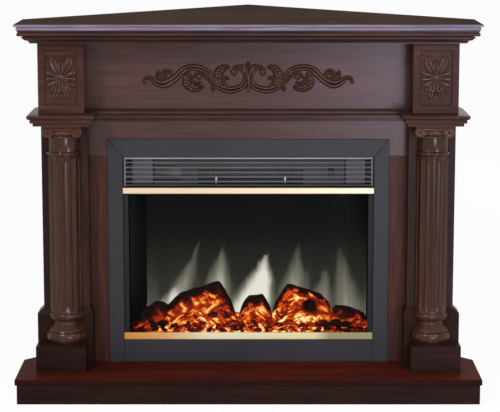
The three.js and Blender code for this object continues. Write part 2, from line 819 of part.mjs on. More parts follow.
const trimBack = faceY - seam;
const trimFront = trimBack - trimThickness;

function trimTopPlate() {
  return frontPlate([[-fireHalf, fireTop], [fireHalf, fireTop], [trimHalf, trimTop], [-trimHalf, trimTop]],
    trimFront, trimBack);
}

function trimSidePlate() {
  return frontPlate([[fireHalf + seam, hearthTop + seam], [trimHalf, hearthTop + seam],
    [trimHalf, trimTop - 1.5 * seam], [fireHalf + seam, fireTop - 1.5 * seam]], trimFront, trimBack);
}

function trimBottomPlate() {
  return box([-fireHalf, fireHalf], [trimFront + 1, trimBack], [hearthTop + seam, kickTop - seam]);
}

// Brass edge strip with eased front edges.
function brassStrip(z0, z1) {
  const front = trimFront - 1;
  const ease = 1.5;
  return sidePlate([[front + ease, z0], [trimBack, z0], [trimBack, z1], [front + ease, z1],
    [front, z1 - ease], [front, z0 + ease]], -fireHalf, fireHalf);
}

function frontGlass() {
  const half = fireHalf - flangeWidth + glassRebate;
  const front = caseFront + sheet + seam;
  return box([-half, half], [front, front + glassThickness],
    [glassBottom - glassRebate, glassTop + glassRebate]);
}

// Case side: sheet with a front flange beside the glass and a hole for the flap's pivot.
function caseSide() {
  const outer = fireHalf - seam;
  const top = fireTop - sheet - seam;
  const wall = box([outer - sheet, outer], [caseFront, caseRear - seam], [floorTop + seam, top]);
  const flange = box([fireHalf - flangeWidth, outer - sheet / 2], [caseFront, caseFront + sheet],
    [floorTop + seam, grilleBottom - 1]);
  const hole = barX(pivotRadius + shaftPlay, outer - 2 * sheet, outer + sheet,
    flapAxis.y, flapAxis.z, 12);
  return cut(join(wall, flange), hole);
}

function caseFloor() {
  return box([-fireHalf, fireHalf], [caseFront, caseRear - seam], [kickTop, floorTop]);
}

function caseTopPlate() {
  return box([-fireHalf, fireHalf], [behindFlap, caseRear - seam], [fireTop - sheet, fireTop]);
}

const gland = { x: glandInset - fireHalf, z: floorTop + glandRise };

function caseBack() {
  const wall = box([-fireHalf, fireHalf], [caseRear, caseRear + sheet], [kickTop, fireTop]);
  return cut(wall, barY(glandRadius + seam, caseRear - 1, caseRear + 2 * sheet, gland.x, gland.z, 20));
}

// Cord inlet: collar with a flange on the outside and the cord's bore through it.
function cordGland() {
  const outside = caseRear + sheet + seam;
  const collar = barY(glandRadius, caseRear - 6, outside + 12, gland.x, gland.z, 20);
  const flange = barY(glandRadius + 4, outside, outside + 3, gland.x, gland.z, 20);
  const bore = barY(cordBore, caseRear - 8, outside + 14, gland.x, gland.z, 12);
  return cut(join(collar, flange), bore);
}

// ---- Electric fire: flap, controls and heater --------------------------------------------------

// Louvred flap: level bars between two end plates, on a pivot rod along its lower edge.
function grilleFlap() {
  const half = fireHalf - sheet - 2 * seam - 1;
  const front = flapAxis.y - barDepth / 2;
  const back = front + barDepth;
  const top = fireTop - flapPlay;
  const endWidth = 4;
  const ends = sides.map(([, hand]) => box(
    hand < 0 ? [-half, endWidth - half] : [half - endWidth, half],
    [front + 0.5, back - 0.5], [flapAxis.z - 3, top],
  ));
  const bars = Array.from({ length: barCount }, (_, k) => {
    const z = top - barHeight - k * barPitch;
    return box([-half + 1, half - 1], [front, back], [z, z + barHeight]);
  });
  const rod = barX(pivotRadius, -fireHalf + 1, fireHalf - 1, flapAxis.y, flapAxis.z, 12);
  return join(...ends, ...bars, rod);
}

const switchBox = { wall: 1.6, depth: 12, play: 1 };
const switchPin = { y: panelY + 5, radius: 1.5 };

// Control plate: outlet perforations, a foot behind the glass head, and the switch's box.
function controlPanel() {
  const half = fireHalf - sheet - 2 * seam;
  const bottom = grilleBottom + 1;
  const wall = box([-half, half], [panelY, panelY + sheet], [bottom, fireTop - sheet - seam]);
  const foot = box([-half, half], [behindFlap, panelY + sheet], [bottom, bottom + sheet]);
  const boxHalfX = switchWidth / 2 + switchBox.play + switchBox.wall;
  const boxHalfZ = switchHeight / 2 + switchBox.play + switchBox.wall;
  const housing = box([switchX - boxHalfX, switchX + boxHalfX], [panelY, panelY + switchBox.depth],
    [switchZ - boxHalfZ, switchZ + boxHalfZ]);
  const pocket = box(
    [switchX - boxHalfX + switchBox.wall, switchX + boxHalfX - switchBox.wall],
    [panelY - 1, panelY + switchBox.depth - switchBox.wall],
    [switchZ - boxHalfZ + switchBox.wall, switchZ + boxHalfZ - switchBox.wall],
  );
  const pinHole = barX(switchPin.radius + seam, switchX - boxHalfX - 1, switchX + boxHalfX + 1,
    switchPin.y, switchZ, 10);
  const holes = [];
  const pitchX = outletWidth / outletColumns;
  for (let row = 0; row < outletRows; row += 1) {
    for (let place = 0; place < outletColumns; place += 1) {
      const x = (place + 0.5) * pitchX - outletWidth / 2;
      const z = outletZ + (row - (outletRows - 1) / 2) * outletPitchZ;
      holes.push(box([x - pitchX / 2 + 2, x + pitchX / 2 - 2], [panelY - 1, panelY + sheet + 1],
        [z - outletHole / 2, z + outletHole / 2]));
    }
  }
  return cut(join(wall, foot, housing), pocket, pinHole, ...holes);
}

// Rocker of the power switch, on its side pins, tipped to the off side at rest.
function powerSwitch() {
  const half = switchHeight / 2;
  const rocker = sidePlate([
    [switchPin.y - 9, switchZ + half - 0.5], [switchPin.y - 6, switchZ], [switchPin.y - 7, switchZ - half],
    [switchPin.y + 2, switchZ - half + 2], [switchPin.y + 3, switchZ], [switchPin.y + 2, switchZ + half - 2],
  ].reverse(), switchX - switchWidth / 2, switchX + switchWidth / 2);
  const reach = switchWidth / 2 + switchBox.play + switchBox.wall;
  const pin = barX(switchPin.radius, switchX - reach, switchX + reach, switchPin.y, switchZ, 10);
  return join(rocker, pin);
}

const blower = {
  front: panelY + sheet + switchBox.depth,
  back: blowerAxis.y + wheelRadius + blowerFloorGap,
  bottom: grilleBottom + blowerFloorGap,
  top: fireTop - sheet - seam,
};

// Fan housing: open towards the outlet, with the wheel's bearings and the motor on one end.
function blowerHousing() {
  const half = blowerWidth / 2;
  const shell = box([-half, half], [blower.front, blower.back], [blower.bottom, blower.top]);
  const hollow = box([sheet - half, half - sheet], [blower.front - 1, blower.back - sheet],
    [blower.bottom + sheet, blower.top - sheet]);
  const motor = barX(motorRadius, half - 1, half + motorLength, blowerAxis.y, blowerAxis.z - 4, 20);
  const bore = barX(axleRadius + shaftPlay, -half - 1, half + 12, blowerAxis.y, blowerAxis.z, 12);
  return cut(join(geometryOf(solidOf(shell).subtract(solidOf(hollow))), motor), bore);
}

// Cross-flow fan wheel: end and middle discs, blades and axle.
function blowerWheel() {
  const { y, z } = blowerAxis;
  const half = blowerWidth / 2 - sheet - 6;
  const discs = [-half, -1, half - 2].map((x) => barX(wheelRadius, x, x + 2, y, z, 20));
  const blades = Array.from({ length: wheelBlades }, (_, k) => {
    const blade = new THREE.BoxGeometry(2 * half - 1, 1.2, 7).translate(0, 0, wheelRadius - 5);
    return blade.rotateX((2 * Math.PI * k) / wheelBlades).translate(0, y, z);
  });
  const axle = barX(axleRadius, -blowerWidth / 2, blowerWidth / 2 + 8, y, z, 12);
  return join(axle, ...discs, ...blades);
}

// Heater: ceramic rods between two end plates, with cooling ribs along them.
function heatingElement() {
  const half = blowerWidth / 2 - sheet - 1;
  const y = blower.front + 8;
  const bottom = blower.bottom + sheet + seam;
  const top = blower.top - sheet - seam;
  const middle = (bottom + top) / 2;
  const ends = [-half, half - 2].map((x) => box([x, x + 2], [y - 6, y + 6], [bottom, top]));
  const rods = [-18, 0, 18].map((dz) => barX(4, -half + 1, half - 1, y, middle + dz, 6));
  const ribs = Array.from({ length: 5 }, (_, k) => {
    const x = (k - 2) * (half / 3);
    return box([x - 0.6, x + 0.6], [y - 5, y + 5], [middle - 26, middle + 26]);
  });
  return join(...ends, ...rods, ...ribs);
}

// ---- Electric fire: flame effect --------------------------------------------------------------

function flameScreen() {
  return box([-screenHalf, screenHalf], [screenY, screenY + 3], [floorTop + seam, glassTop + 2]);
}

// Turning spindle with reflector vanes set round it step by step.
function flameSpindle() {
  const { y, z } = spindleAxis;
  const shaft = barX(axleRadius, -spindleHalf - 14, spindleHalf + 14, y, z, 12);
  const pitch = (2 * spindleHalf) / vaneCount;
  const vanes = Array.from({ length: vaneCount }, (_, k) => {
    const vane = new THREE.BoxGeometry(pitch - 6, 0.8, 2 * spindleRadius);
    return vane.rotateX((Math.PI * 3 * k) / vaneCount)
      .translate((k + 0.5) * pitch - spindleHalf, y, z);
  });
  return join(shaft, ...vanes);
}

// Motor rail: base strip, a bearing post at one end and the motor at the other.
function spindleMotor() {
  const { y, z } = spindleAxis;
  const foot = floorTop + seam;
  const end = spindleHalf + 8;
  const rail = box([-end - 3, end + 26], [y - 12, y + 12], [foot, foot + 3]);
  const posts = [-end - 3, end].map((x) => box([x, x + 3], [y - 12, y + 12], [foot, z + 10]));
  const motor = barX(20, end + 2, end + 26, y, z, 20);
  const bore = barX(axleRadius + shaftPlay, -end - 5, end + 12, y, z, 12);
  return cut(join(rail, ...posts, motor), bore);
}

// Two lamps on a holder strip under the flame screen.
function lamp() {
  const foot = floorTop + seam;
  const y = screenY + lampSetback;
  const half = fireHalf - lampSideGap;
  const strip = box([-half, half], [y - 6, y + 6], [foot, foot + 6]);
  const bulbs = [-0.6 * half, 0.6 * half].flatMap((x) => {
    const socket = new THREE.CylinderGeometry(7, 7, 14, 12).rotateX(Math.PI / 2);
    const bulb = new THREE.SphereGeometry(9, 12, 8).scale(1, 1, 1.5);
    return [socket.translate(x, y, foot + 11), bulb.translate(x, y, foot + 28)];
  });
  return join(strip, ...bulbs);
}

// Height of the embers over the case floor: rising to the back, with coals in rows.
function emberHeight(x, y) {
  const back = (y - caseFront) / emberDepth;
  const coals = Math.sin(x / 12) * Math.cos(y / 8 + x / 31) + 0.6 * Math.sin(x / 19 + y / 6);
  return 14 + 38 * back + 3.2 * coals;
}

function emberMound() {
  const bottom = floorTop + seam;
  const front = caseFront + emberFrontGap;
  const mound = new THREE.BoxGeometry(2 * (fireHalf - emberSideGap), emberDepth, 1, 34, 5, 1);
  const position = mound.attributes.position;
  for (let k = 0; k < position.count; k += 1) {
    const x = position.getX(k);
    const y = position.getY(k) + front + emberDepth / 2;
    const z = position.getZ(k) > 0 ? bottom + emberHeight(x, y) : bottom;
    position.setXYZ(k, x, y, z);
  }
  return mound;
}

// A log: rough rings between two ends, with a radius at each end. Each end is [x as a share of the
// fire's half width, y behind the logs' middle line, z above the case floor].
function logPiece(from, to, startRadius, endRadius, seed) {
  const place = ([x, y, z]) => new THREE.Vector3(x * fireHalf, logY + y, floorTop + z);
  const start = place(from);
  const along = place(to).sub(start);
  const out = new THREE.Vector3(0, 0, 1).cross(along).normalize();
  const up = new THREE.Vector3().crossVectors(along, out).normalize();
  const rings = 7;
  const around = 12;
  return skin(Array.from({ length: rings + 1 }, (_, k) => {
    const share = k / rings;
    const middle = start.clone().addScaledVector(along, share);
    const radius = startRadius + (endRadius - startRadius) * share;
    return Array.from({ length: around }, (__, j) => {
      const angle = (2 * Math.PI * j) / around;
      const rough = 1 + 0.07 * Math.sin(3 * angle + seed) + 0.06 * Math.sin(5 * share + 2 * angle + seed);
      const point = middle.clone().addScaledVector(out, radius * rough * Math.cos(angle))
        .addScaledVector(up, radius * rough * Math.sin(angle));
      return point.toArray();
    });
  }));
}

function emberBed() {
  const centreLog = logPiece([-0.06, 6, 75], [0.18, -4, 71], 34, 36, 1);
  return join(emberMound(), centreLog);
}

// A group of logs lying on the embers, cut clear of them.
function restingLogs(...logs) {
  const embers = solidOf(emberBed()).translate(0, 0, seam);
  const floor = solidOf(box([-fireHalf, fireHalf], [caseFront, caseRear], [0, floorTop + 2 * seam]));
  return geometryOf(solidOf(join(...logs)).subtract(embers).subtract(floor));
}

function leftLogs() {
  return restingLogs(
    logPiece([-0.66, 0, 71], [-0.14, -6, 106], 34, 38, 2),
    logPiece([-0.87, 6, 58], [-0.6, 2, 66], 24, 28, 4),
  );
}

function rightLogs() {
  return restingLogs(
    logPiece([0.24, -4, 102], [0.68, 0, 62], 37, 31, 3),
    logPiece([0.63, 4, 50], [0.92, 8, 44], 27, 20, 5),
  );
}

function electricFire() {
  const group = new THREE.Group();
  addMesh(group, 'trim_top', trimTopPlate(), charcoalSteel);
  addPair(group, 'trim', trimSidePlate(), charcoalSteel);
  addMesh(group, 'trim_bottom', trimBottomPlate(), charcoalSteel);
  addMesh(group, 'brass_strip_top', brassStrip(glassTop, grilleBottom - seam), brass);
  addMesh(group, 'brass_strip_bottom', brassStrip(kickTop, glassBottom), brass);
  addMesh(group, 'front_glass', frontGlass(), clearGlass);
  addPair(group, 'case', caseSide(), blackSteel);
  addMesh(group, 'case_floor', caseFloor(), blackSteel);
  addMesh(group, 'case_top', caseTopPlate(), blackSteel);
  addMesh(group, 'case_back', caseBack(), blackSteel);
  addMesh(group, 'cord_gland', cordGland(), blackPlastic);
  addMesh(group, 'grille_flap', grilleFlap(), charcoalSteel);
  addMesh(group, 'control_panel', controlPanel(), blackSteel);
  addMesh(group, 'power_switch', powerSwitch(), blackPlastic);
  addMesh(group, 'blower_housing', blowerHousing(), blackSteel);
  addMesh(group, 'blower_wheel', blowerWheel(), brightSteel);
  addMesh(group, 'heating_element', heatingElement(), ceramic);
  addMesh(group, 'flame_screen', flameScreen(), screenPlastic);
  addMesh(group, 'flame_spindle', flameSpindle(), brightSteel);
  addMesh(group, 'spindle_motor', spindleMotor(), blackPlastic);
  addMesh(group, 'lamp', lamp(), ceramic);
  addMesh(group, 'ember_bed', emberBed(), emberPlastic);
  addMesh(group, 'log_left', leftLogs(), logResin);
  addMesh(group, 'log_right', rightLogs(), logResin);
  return group;
}

// ---- Assembly ---------------------------------------------------------------------------------

const fireplace = new THREE.Group();
const assembly = new THREE.Group();
assembly.position.y = (hearthForward - apexY) / 2; // the footprint's middle goes to the origin
assembly.add(carcass(), frontOrders(), entablature(), electricFire());
fireplace.add(assembly);

export default fireplace;
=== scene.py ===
"""Looks of the corner fireplace: mahogany surround, carved ornament and lit electric log fire.

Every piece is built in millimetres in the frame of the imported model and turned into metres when
its mesh is made. X runs to the viewer's right, -Y towards the room and Z up from the floor.
"""

import logging
import math
from collections.abc import Callable, Iterable, Mapping, Sequence
from dataclasses import dataclass, field, replace
from enum import Enum

import bpy
from mathutils import Euler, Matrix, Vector, noise


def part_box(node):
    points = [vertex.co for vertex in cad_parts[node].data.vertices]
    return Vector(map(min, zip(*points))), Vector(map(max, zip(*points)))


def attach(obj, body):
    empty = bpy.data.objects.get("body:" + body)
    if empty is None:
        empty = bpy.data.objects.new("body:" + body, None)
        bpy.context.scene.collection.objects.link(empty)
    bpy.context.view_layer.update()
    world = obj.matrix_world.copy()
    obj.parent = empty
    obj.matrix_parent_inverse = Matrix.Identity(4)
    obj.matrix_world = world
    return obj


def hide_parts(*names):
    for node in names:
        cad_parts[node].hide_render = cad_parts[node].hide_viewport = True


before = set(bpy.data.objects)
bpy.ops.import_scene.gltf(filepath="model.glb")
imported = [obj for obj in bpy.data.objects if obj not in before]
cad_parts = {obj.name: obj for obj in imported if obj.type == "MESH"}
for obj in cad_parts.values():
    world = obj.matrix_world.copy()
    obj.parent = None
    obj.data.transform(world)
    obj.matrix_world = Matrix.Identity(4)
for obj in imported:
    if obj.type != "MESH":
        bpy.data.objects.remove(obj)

LOG = logging.getLogger("fireplace")
MM = 0.001
TURN = 2 * math.pi
MOULDING_SPANS = 12
SKIN_GAP = 0.3

Point = tuple[float, float, float]
Flat = tuple[float, float]
Colour = tuple[float, float, float]
Knot = tuple[float, float, float]


class Body(Enum):
    """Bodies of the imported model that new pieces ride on."""

    ROOT = "root"
    FLAP = "flap"


class Slot(Enum):
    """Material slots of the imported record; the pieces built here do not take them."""

    MAHOGANY = "mahogany"
    CARVED = "carved_wood"
    STEEL = "charcoal_steel"
    BLACK_STEEL = "black_steel"
    BRIGHT = "bright_steel"
    EMBERS = "embers"
    LOG = "log_resin"


class Axis(Enum):
    """Direction of a grain, a brushing or a round bar."""

    X = 0
    Y = 1
    Z = 2


def clamp(value: float, low: float, high: float) -> float:
    """Returns the value, kept between low and high."""
    return min(max(value, low), high)


def linear(red: float, green: float, blue: float) -> Colour:
    """Turns a screen colour into the linear one that shaders use.

    Args:
        red: Red from 0 to 255.
        green: Green from 0 to 255.
        blue: Blue from 0 to 255.

    Returns:
        The linear colour.
    """

    def channel(value: float) -> float:
        """Returns one channel in linear terms."""
        share = value / 255
        return share / 12.92 if share <= 0.04045 else ((share + 0.055) / 1.055) ** 2.4

    return channel(red), channel(green), channel(blue)


# ---- Shader maths ------------------------------------------------------------------------------


class Value:
    """A number socket of a node tree, with the arithmetic that adds Math nodes."""

    def __init__(self, tree: "Tree", socket: bpy.types.NodeSocket) -> None:
        """Keeps the tree and the socket."""
        self.tree = tree
        self.socket = socket

    def math(self, operation: str, *others: "Value | float", flip: bool = False) -> "Value":
        """Adds a Math node.

        Args:
            operation: Blender's name of the operation.
            others: The other operands.
            flip: Whether this value comes last instead of first.

        Returns:
            The result.
        """
        operands = (*others, self) if flip else (self, *others)
        settings = {"operation": operation}
        return self.tree.node("ShaderNodeMath", settings, dict(enumerate(operands))).value()

    def __add__(self, other: "Value | float") -> "Value":
        """Returns the sum."""
        return self.math("ADD", other)

    def __radd__(self, other: float) -> "Value":
        """Returns the sum."""
        return self.math("ADD", other)

    def __sub__(self, other: "Value | float") -> "Value":
        """Returns the difference."""
        return self.math("SUBTRACT", other)

    def __rsub__(self, other: float) -> "Value":
        """Returns the difference from a number."""
        return self.math("SUBTRACT", other, flip=True)

    def __mul__(self, other: "Value | float") -> "Value":
        """Returns the product."""
        return self.math("MULTIPLY", other)

    def __rmul__(self, other: float) -> "Value":
        """Returns the product."""
        return self.math("MULTIPLY", other)

    def __truediv__(self, other: "Value | float") -> "Value":
        """Returns the quotient."""
        return self.math("DIVIDE", other)

    def __pow__(self, other: "Value | float") -> "Value":
        """Returns the power."""
        return self.math("POWER", other)

    def ramp(self, low: float, high: float) -> "Value":
        """Returns 0 below low and 1 above high, with an eased rise between them."""
        settings = {"interpolation_type": "SMOOTHSTEP"}
        values = {"Value": self, "From Min": low, "From Max": high}
        return self.tree.node("ShaderNodeMapRange", settings, values).value()

    def clamped(self) -> "Value":
        """Returns the value held between 0 and 1."""
        return self.math("MAXIMUM", 0.0).math("MINIMUM", 1.0)


class Node:
    """A node that has been set up, with its outputs at hand."""

    def __init__(self, tree: "Tree", node: bpy.types.Node) -> None:
        """Keeps the tree and the node."""
        self.tree = tree
        self.node = node

    def value(self, name: str | int = 0) -> Value:
        """Returns an output as a number."""
        return Value(self.tree, self.node.outputs[name])

    def out(self, name: str | int = 0) -> bpy.types.NodeSocket:
        """Returns an output socket."""
        return self.node.outputs[name]


Link = Value | bpy.types.NodeSocket | float | int | bool | Sequence[float]


class Tree:
    """The node tree of one material or of the world."""

    def __init__(self, owner: bpy.types.Material | bpy.types.World) -> None:
        """Empties the owner's node tree and takes it over."""
        owner.use_nodes = True
        self.nodes = owner.node_tree.nodes
        self.links = owner.node_tree.links
        self.nodes.clear()

    def node(self, kind: str, settings: Mapping[str, object] | None = None,
             values: Mapping[str | int, Link] | None = None) -> Node:
        """Adds a node.

        Args:
            kind: Blender's name of the node type.
            settings: Properties of the node, set first; "stops" gives a colour ramp's stops.
            values: Values or links of its input sockets, by name or number.

        Returns:
            The node.
        """
        made = self.nodes.new(kind)
        for name, setting in (settings or {}).items():
            if name == "stops":
                self._set_stops(made.color_ramp, setting)
            else:
                setattr(made, name, setting)
        for name, given in (values or {}).items():
            socket = self._input(made, name)
            if isinstance(given, Value):
                self.links.new(given.socket, socket)
            elif isinstance(given, bpy.types.NodeSocket):
                self.links.new(given, socket)
            elif isinstance(given, Sequence) and socket.type == "RGBA":
                socket.default_value = (*given[:3], 1.0)
            else:
                socket.default_value = given
        return Node(self, made)

    @staticmethod
    def _input(made: bpy.types.Node, name: str | int) -> bpy.types.NodeSocket:
        """Returns the enabled input of that name or number."""
        if isinstance(name, int):
            return made.inputs[name]
        return next(socket for socket in made.inputs if socket.name == name and socket.enabled)

    @staticmethod
    def _set_stops(ramp: bpy.types.ColorRamp, stops: Sequence[tuple[float, Colour]]) -> None:
        """Gives a colour ramp its stops."""
        while len(ramp.elements) < len(stops):
            ramp.elements.new(0.5)
        for element, (place, colour) in zip(ramp.elements, stops):
            element.position = place
            element.color = (*colour, 1.0)

    def place(self, stretch: Point = (1.0, 1.0, 1.0)) -> bpy.types.NodeSocket:
        """Returns the point on the piece in metres, stretched along each axis."""
        point = self.node("ShaderNodeTexCoord").out("Object")
        settings = {"operation": "MULTIPLY"}
        return self.node("ShaderNodeVectorMath", settings, {0: point, 1: stretch}).out()

    def axes(self) -> tuple[Value, Value, Value]:
        """Returns the point's own x, y and z in metres."""
        split = self.node("ShaderNodeSeparateXYZ", None, {0: self.place()})
        return split.value("X"), split.value("Y"), split.value("Z")

    def noise(self, where: bpy.types.NodeSocket, scale: float, detail: float = 3.0,
              roughness: float = 0.5, distortion: float = 0.0) -> Value:
        """Returns a cloud-like noise from 0 to 1 at a point."""
        values = {"Vector": where, "Scale": scale, "Detail": detail, "Roughness": roughness,
                  "Distortion": distortion}
        return self.node("ShaderNodeTexNoise", None, values).value("Fac")

    def cells(self, where: bpy.types.NodeSocket, scale: float, edges: bool = False) -> Value:
        """Returns the distance to a cell's middle, or to its edge."""
        feature = "DISTANCE_TO_EDGE" if edges else "F1"
        values = {"Vector": where, "Scale": scale}
        return self.node("ShaderNodeTexVoronoi", {"feature": feature}, values).value("Distance")

    def mix(self, share: Value | float, first: Link, second: Link) -> bpy.types.NodeSocket:
        """Returns a colour between two."""
        settings = {"data_type": "RGBA"}
        values = {"Factor": share, "A": first, "B": second}
        return self.node("ShaderNodeMix", settings, values).out(2)

    def colours(self, share: Value, *stops: tuple[float, Colour]) -> bpy.types.NodeSocket:
        """Returns a colour from a ramp."""
        return self.node("ShaderNodeValToRGB", {"stops": stops}, {"Fac": share}).out()

    def bump(self, height: Value, distance: float, strength: float = 1.0) -> bpy.types.NodeSocket:
        """Returns the normal of a surface with that relief, its distance in metres."""
        values = {"Height": height, "Distance": distance, "Strength": strength}
        return self.node("ShaderNodeBump", None, values).out()

    def surface(self, **sockets: Link) -> bpy.types.NodeSocket:
        """Adds the main shader, its sockets named with _ for a space, and shows it.

        Args:
            sockets: Values or links of its sockets.

        Returns:
            The shader's output.
        """
        values = {name.replace("_", " "): given for name, given in sockets.items()}
        shader = self.node("ShaderNodeBsdfPrincipled", None, values).out()
        self.show(shader)
        return shader

    def seen_directly(self) -> Value:
        """Returns 1 for camera, transmission and glossy rays, and 0 for the rest."""
        path = self.node("ShaderNodeLightPath")
        seen = path.value("Is Camera Ray").math("MAXIMUM", path.value("Is Transmission Ray"))
        return seen.math("MAXIMUM", path.value("Is Glossy Ray"))

    def show(self, shader: bpy.types.NodeSocket) -> None:
        """Sends a shader to the material's output."""
        self.node("ShaderNodeOutputMaterial", None, {"Surface": shader})


# ---- Finishes ----------------------------------------------------------------------------------

MADE: dict[str, bpy.types.Material] = {}


@dataclass(frozen=True)
class Finish:
    """A surface finish. One material is made for each set of its values."""

    name: str

    def paint(self, tree: Tree) -> None:
        """Adds the finish's nodes."""
        raise NotImplementedError

    def material(self) -> bpy.types.Material:
        """Returns the material, made the first time it is asked for."""
        if self.name not in MADE:
            MADE[self.name] = bpy.data.materials.new(self.name)
            self.paint(Tree(MADE[self.name]))
        return MADE[self.name]


@dataclass(frozen=True)
class Lacquered(Finish):
    """Dark mahogany stain under satin lacquer, with fine grain along one axis."""

    grain: Axis = Axis.X
    dark: Colour = linear(40, 22, 17)
    middle: Colour = linear(64, 40, 33)
    light: Colour = linear(92, 62, 52)
    # Share of painted highlight on convex ridges; any share also paints shade into the hollows.
    edge_light: float = 0.0
    gloss: float = 0.1
    roughness: float = 0.32
    relief: float = 0.00005
    # Colour painted on upright faces in place of light: painted shade on the hearth's edge, a painted
    # sheen on the shelf's nosing.
    upright: Colour | None = None
    tint: Colour = (1.0, 0.84, 0.74)
    # Colour of the painted highlight on convex ridges.
    ridge: Colour = linear(122, 80, 62)
    # Colour of the painted shade in hollows.
    hollow_shade: Colour = linear(16, 7, 6)
    along_grain: float = 0.06
    streak_scale: float = 110.0
    figure_scale: float = 20.0
    pore_scale: float = 900.0
    drift_scale: float = 2.3

    def paint(self, tree: Tree) -> None:
        """Adds grain streaks, pores and drift, with painted ridge highlights, hollow shade and
        upright-face light.
        """
        stretch = [1.0, 1.0, 1.0]
        stretch[self.grain.value] = self.along_grain
        along = tree.place(tuple(stretch))
        streaks = tree.noise(along, self.streak_scale, 5.0, 0.66, 0.5)
        figure = tree.noise(along, self.figure_scale, 3.0, 0.5, 1.1)
        pores = tree.noise(along, self.pore_scale, 2.0, 0.6)
        drift = tree.noise(tree.place(), self.drift_scale, 2.0)
        tone = (streaks * 0.75 + figure * 0.4 + drift * 0.4 - pores.ramp(0.55, 0.75) * 0.16) - 0.28
        stops = ((0.2, self.dark), (0.48, self.middle), (0.78, self.light))
        colour = tree.colours(tone.clamped(), *stops)
        shape = tree.node("ShaderNodeNewGeometry")
        # Upright faces take the painted colour (shade or sheen, as the finish gives); faces that look up
        # keep the stain.
        if self.upright:
            facing = tree.node("ShaderNodeSeparateXYZ", None, {0: shape.out("Normal")}).value("Z")
            upright = tree.mix(streaks, self.dark, self.upright)
            colour = tree.mix(facing.ramp(0.45, 0.95), upright, colour)
        # Painted highlights on convex ridges and painted shade in hollows, both found from pointiness.
        if self.edge_light:
            point = shape.value("Pointiness")
            colour = tree.mix(point.ramp(0.505, 0.56) * self.edge_light, colour, self.ridge)
            colour = tree.mix((1.0 - point.ramp(0.44, 0.497)) * 0.85, colour, self.hollow_shade)
        tree.surface(
            Base_Color=colour,
            Roughness=self.roughness + 0.1 * drift + 0.08 * pores,
            Specular_IOR_Level=self.gloss,
            Specular_Tint=self.tint,
            Normal=tree.bump(pores * 0.6 + streaks * 0.4, self.relief, 0.35),
        )


@dataclass(frozen=True)
class PlainBoard(Finish):
    """Unfinished dark board on the hidden sides."""

    def paint(self, tree: Tree) -> None:
        """Adds fibres, flecks and a rough skin."""
        fibres = tree.noise(tree.place((1.0, 1.0, 0.2)), 260.0, 4.0, 0.7)
        flecks = tree.noise(tree.place(), 700.0, 2.0)
        tone = fibres * 0.7 + flecks * 0.3
        colour = tree.colours(tone, (0.25, linear(44, 33, 26)), (0.7, linear(78, 58, 44)))
        tree.surface(Base_Color=colour, Roughness=0.72 + 0.2 * flecks,
                     Normal=tree.bump(tone, 0.0004, 0.5))


@dataclass(frozen=True)
class Coated(Finish):
    """Powder-coated or painted steel with a fine texture."""

    colour: Colour = linear(47, 45, 46)
    roughness: float = 0.46
    texture: float = 0.00004
    sheen_drift: float = 0.12
    gloss: float = 0.25

    def paint(self, tree: Tree) -> None:
        """Adds the coat's orange-peel texture and slight clouding."""
        peel = tree.noise(tree.place(), 1500.0, 3.0, 0.6)
        cloud = tree.noise(tree.place(), 6.0, 3.0)
        darker = tuple(channel * 0.82 for channel in self.colour)
        tree.surface(
            Base_Color=tree.mix(cloud.ramp(0.3, 0.7), darker, self.colour),
            Roughness=self.roughness + self.sheen_drift * (cloud - 0.5) + 0.08 * (peel - 0.5),
            Specular_IOR_Level=self.gloss,
            Normal=tree.bump(peel, self.texture, 0.6),
        )


@dataclass(frozen=True)
class PaleBrass(Finish):
    """Polished pale brass strip, with warm and olive casts towards its ends."""

    warm: float = 0.0

    def paint(self, tree: Tree) -> None:
        """Adds brushing along the strip, and the casts where they are asked for."""
        brushed = tree.noise(tree.place((0.01, 1.0, 1.0)), 2600.0, 2.0)
        cloud = tree.noise(tree.place(), 9.0, 2.0)
        pale = tree.mix(cloud * 0.5, linear(232, 214, 172), linear(214, 190, 140))
        x = tree.axes()[0]
        cast = tree.colours((x / 0.7 + 0.5).clamped(), (0.0, linear(205, 140, 60)),
                            (0.17, linear(222, 165, 100)), (0.34, linear(236, 226, 184)),
                            (0.76, linear(226, 214, 156)), (0.82, linear(150, 146, 98)))
        tree.surface(
            Base_Color=tree.mix(self.warm, pale, cast),
            Metallic=0.55,
            Roughness=0.24 + 0.12 * brushed,
            Normal=tree.bump(brushed, 0.00003, 0.4),
        )


@dataclass(frozen=True)
class BrightMetal(Finish):
    """Bare rolled steel or aluminium."""

    colour: Colour = linear(186, 188, 190)
    brushing: Axis = Axis.X

    def paint(self, tree: Tree) -> None:
        """Adds rolling marks and light smudges."""
        stretch = [1.0, 1.0, 1.0]
        stretch[self.brushing.value] = 0.02
        marks = tree.noise(tree.place(tuple(stretch)), 1400.0, 3.0)
        smudge = tree.noise(tree.place(), 25.0, 2.0)
        darker = tuple(channel * 0.75 for channel in self.colour)
        tree.surface(
            Base_Color=tree.mix(marks, darker, self.colour),
            Metallic=0.9,
            Roughness=0.24 + 0.16 * smudge,
            Normal=tree.bump(marks, 0.00004, 0.5),
        )


@dataclass(frozen=True)
class Moulded(Finish):
    """Moulded plastic or ceramic with a grained skin."""

    colour: Colour = linear(24, 24, 26)
    roughness: float = 0.45
    glow: float = 0.0

    def paint(self, tree: Tree) -> None:
        """Adds the mould's grain and slight dusting."""
        grain = tree.noise(tree.place(), 1900.0, 2.0)
        dust = tree.noise(tree.place(), 30.0, 3.0)
        dusty = tuple(min(1.0, channel + 0.03) for channel in self.colour)
        tree.surface(
            Base_Color=tree.mix(dust.ramp(0.4, 0.8), self.colour, dusty),
            Roughness=self.roughness + 0.15 * dust,
            Emission_Color=linear(255, 170, 80),
            Emission_Strength=self.glow,
            Normal=tree.bump(grain, 0.00008, 0.5),
        )


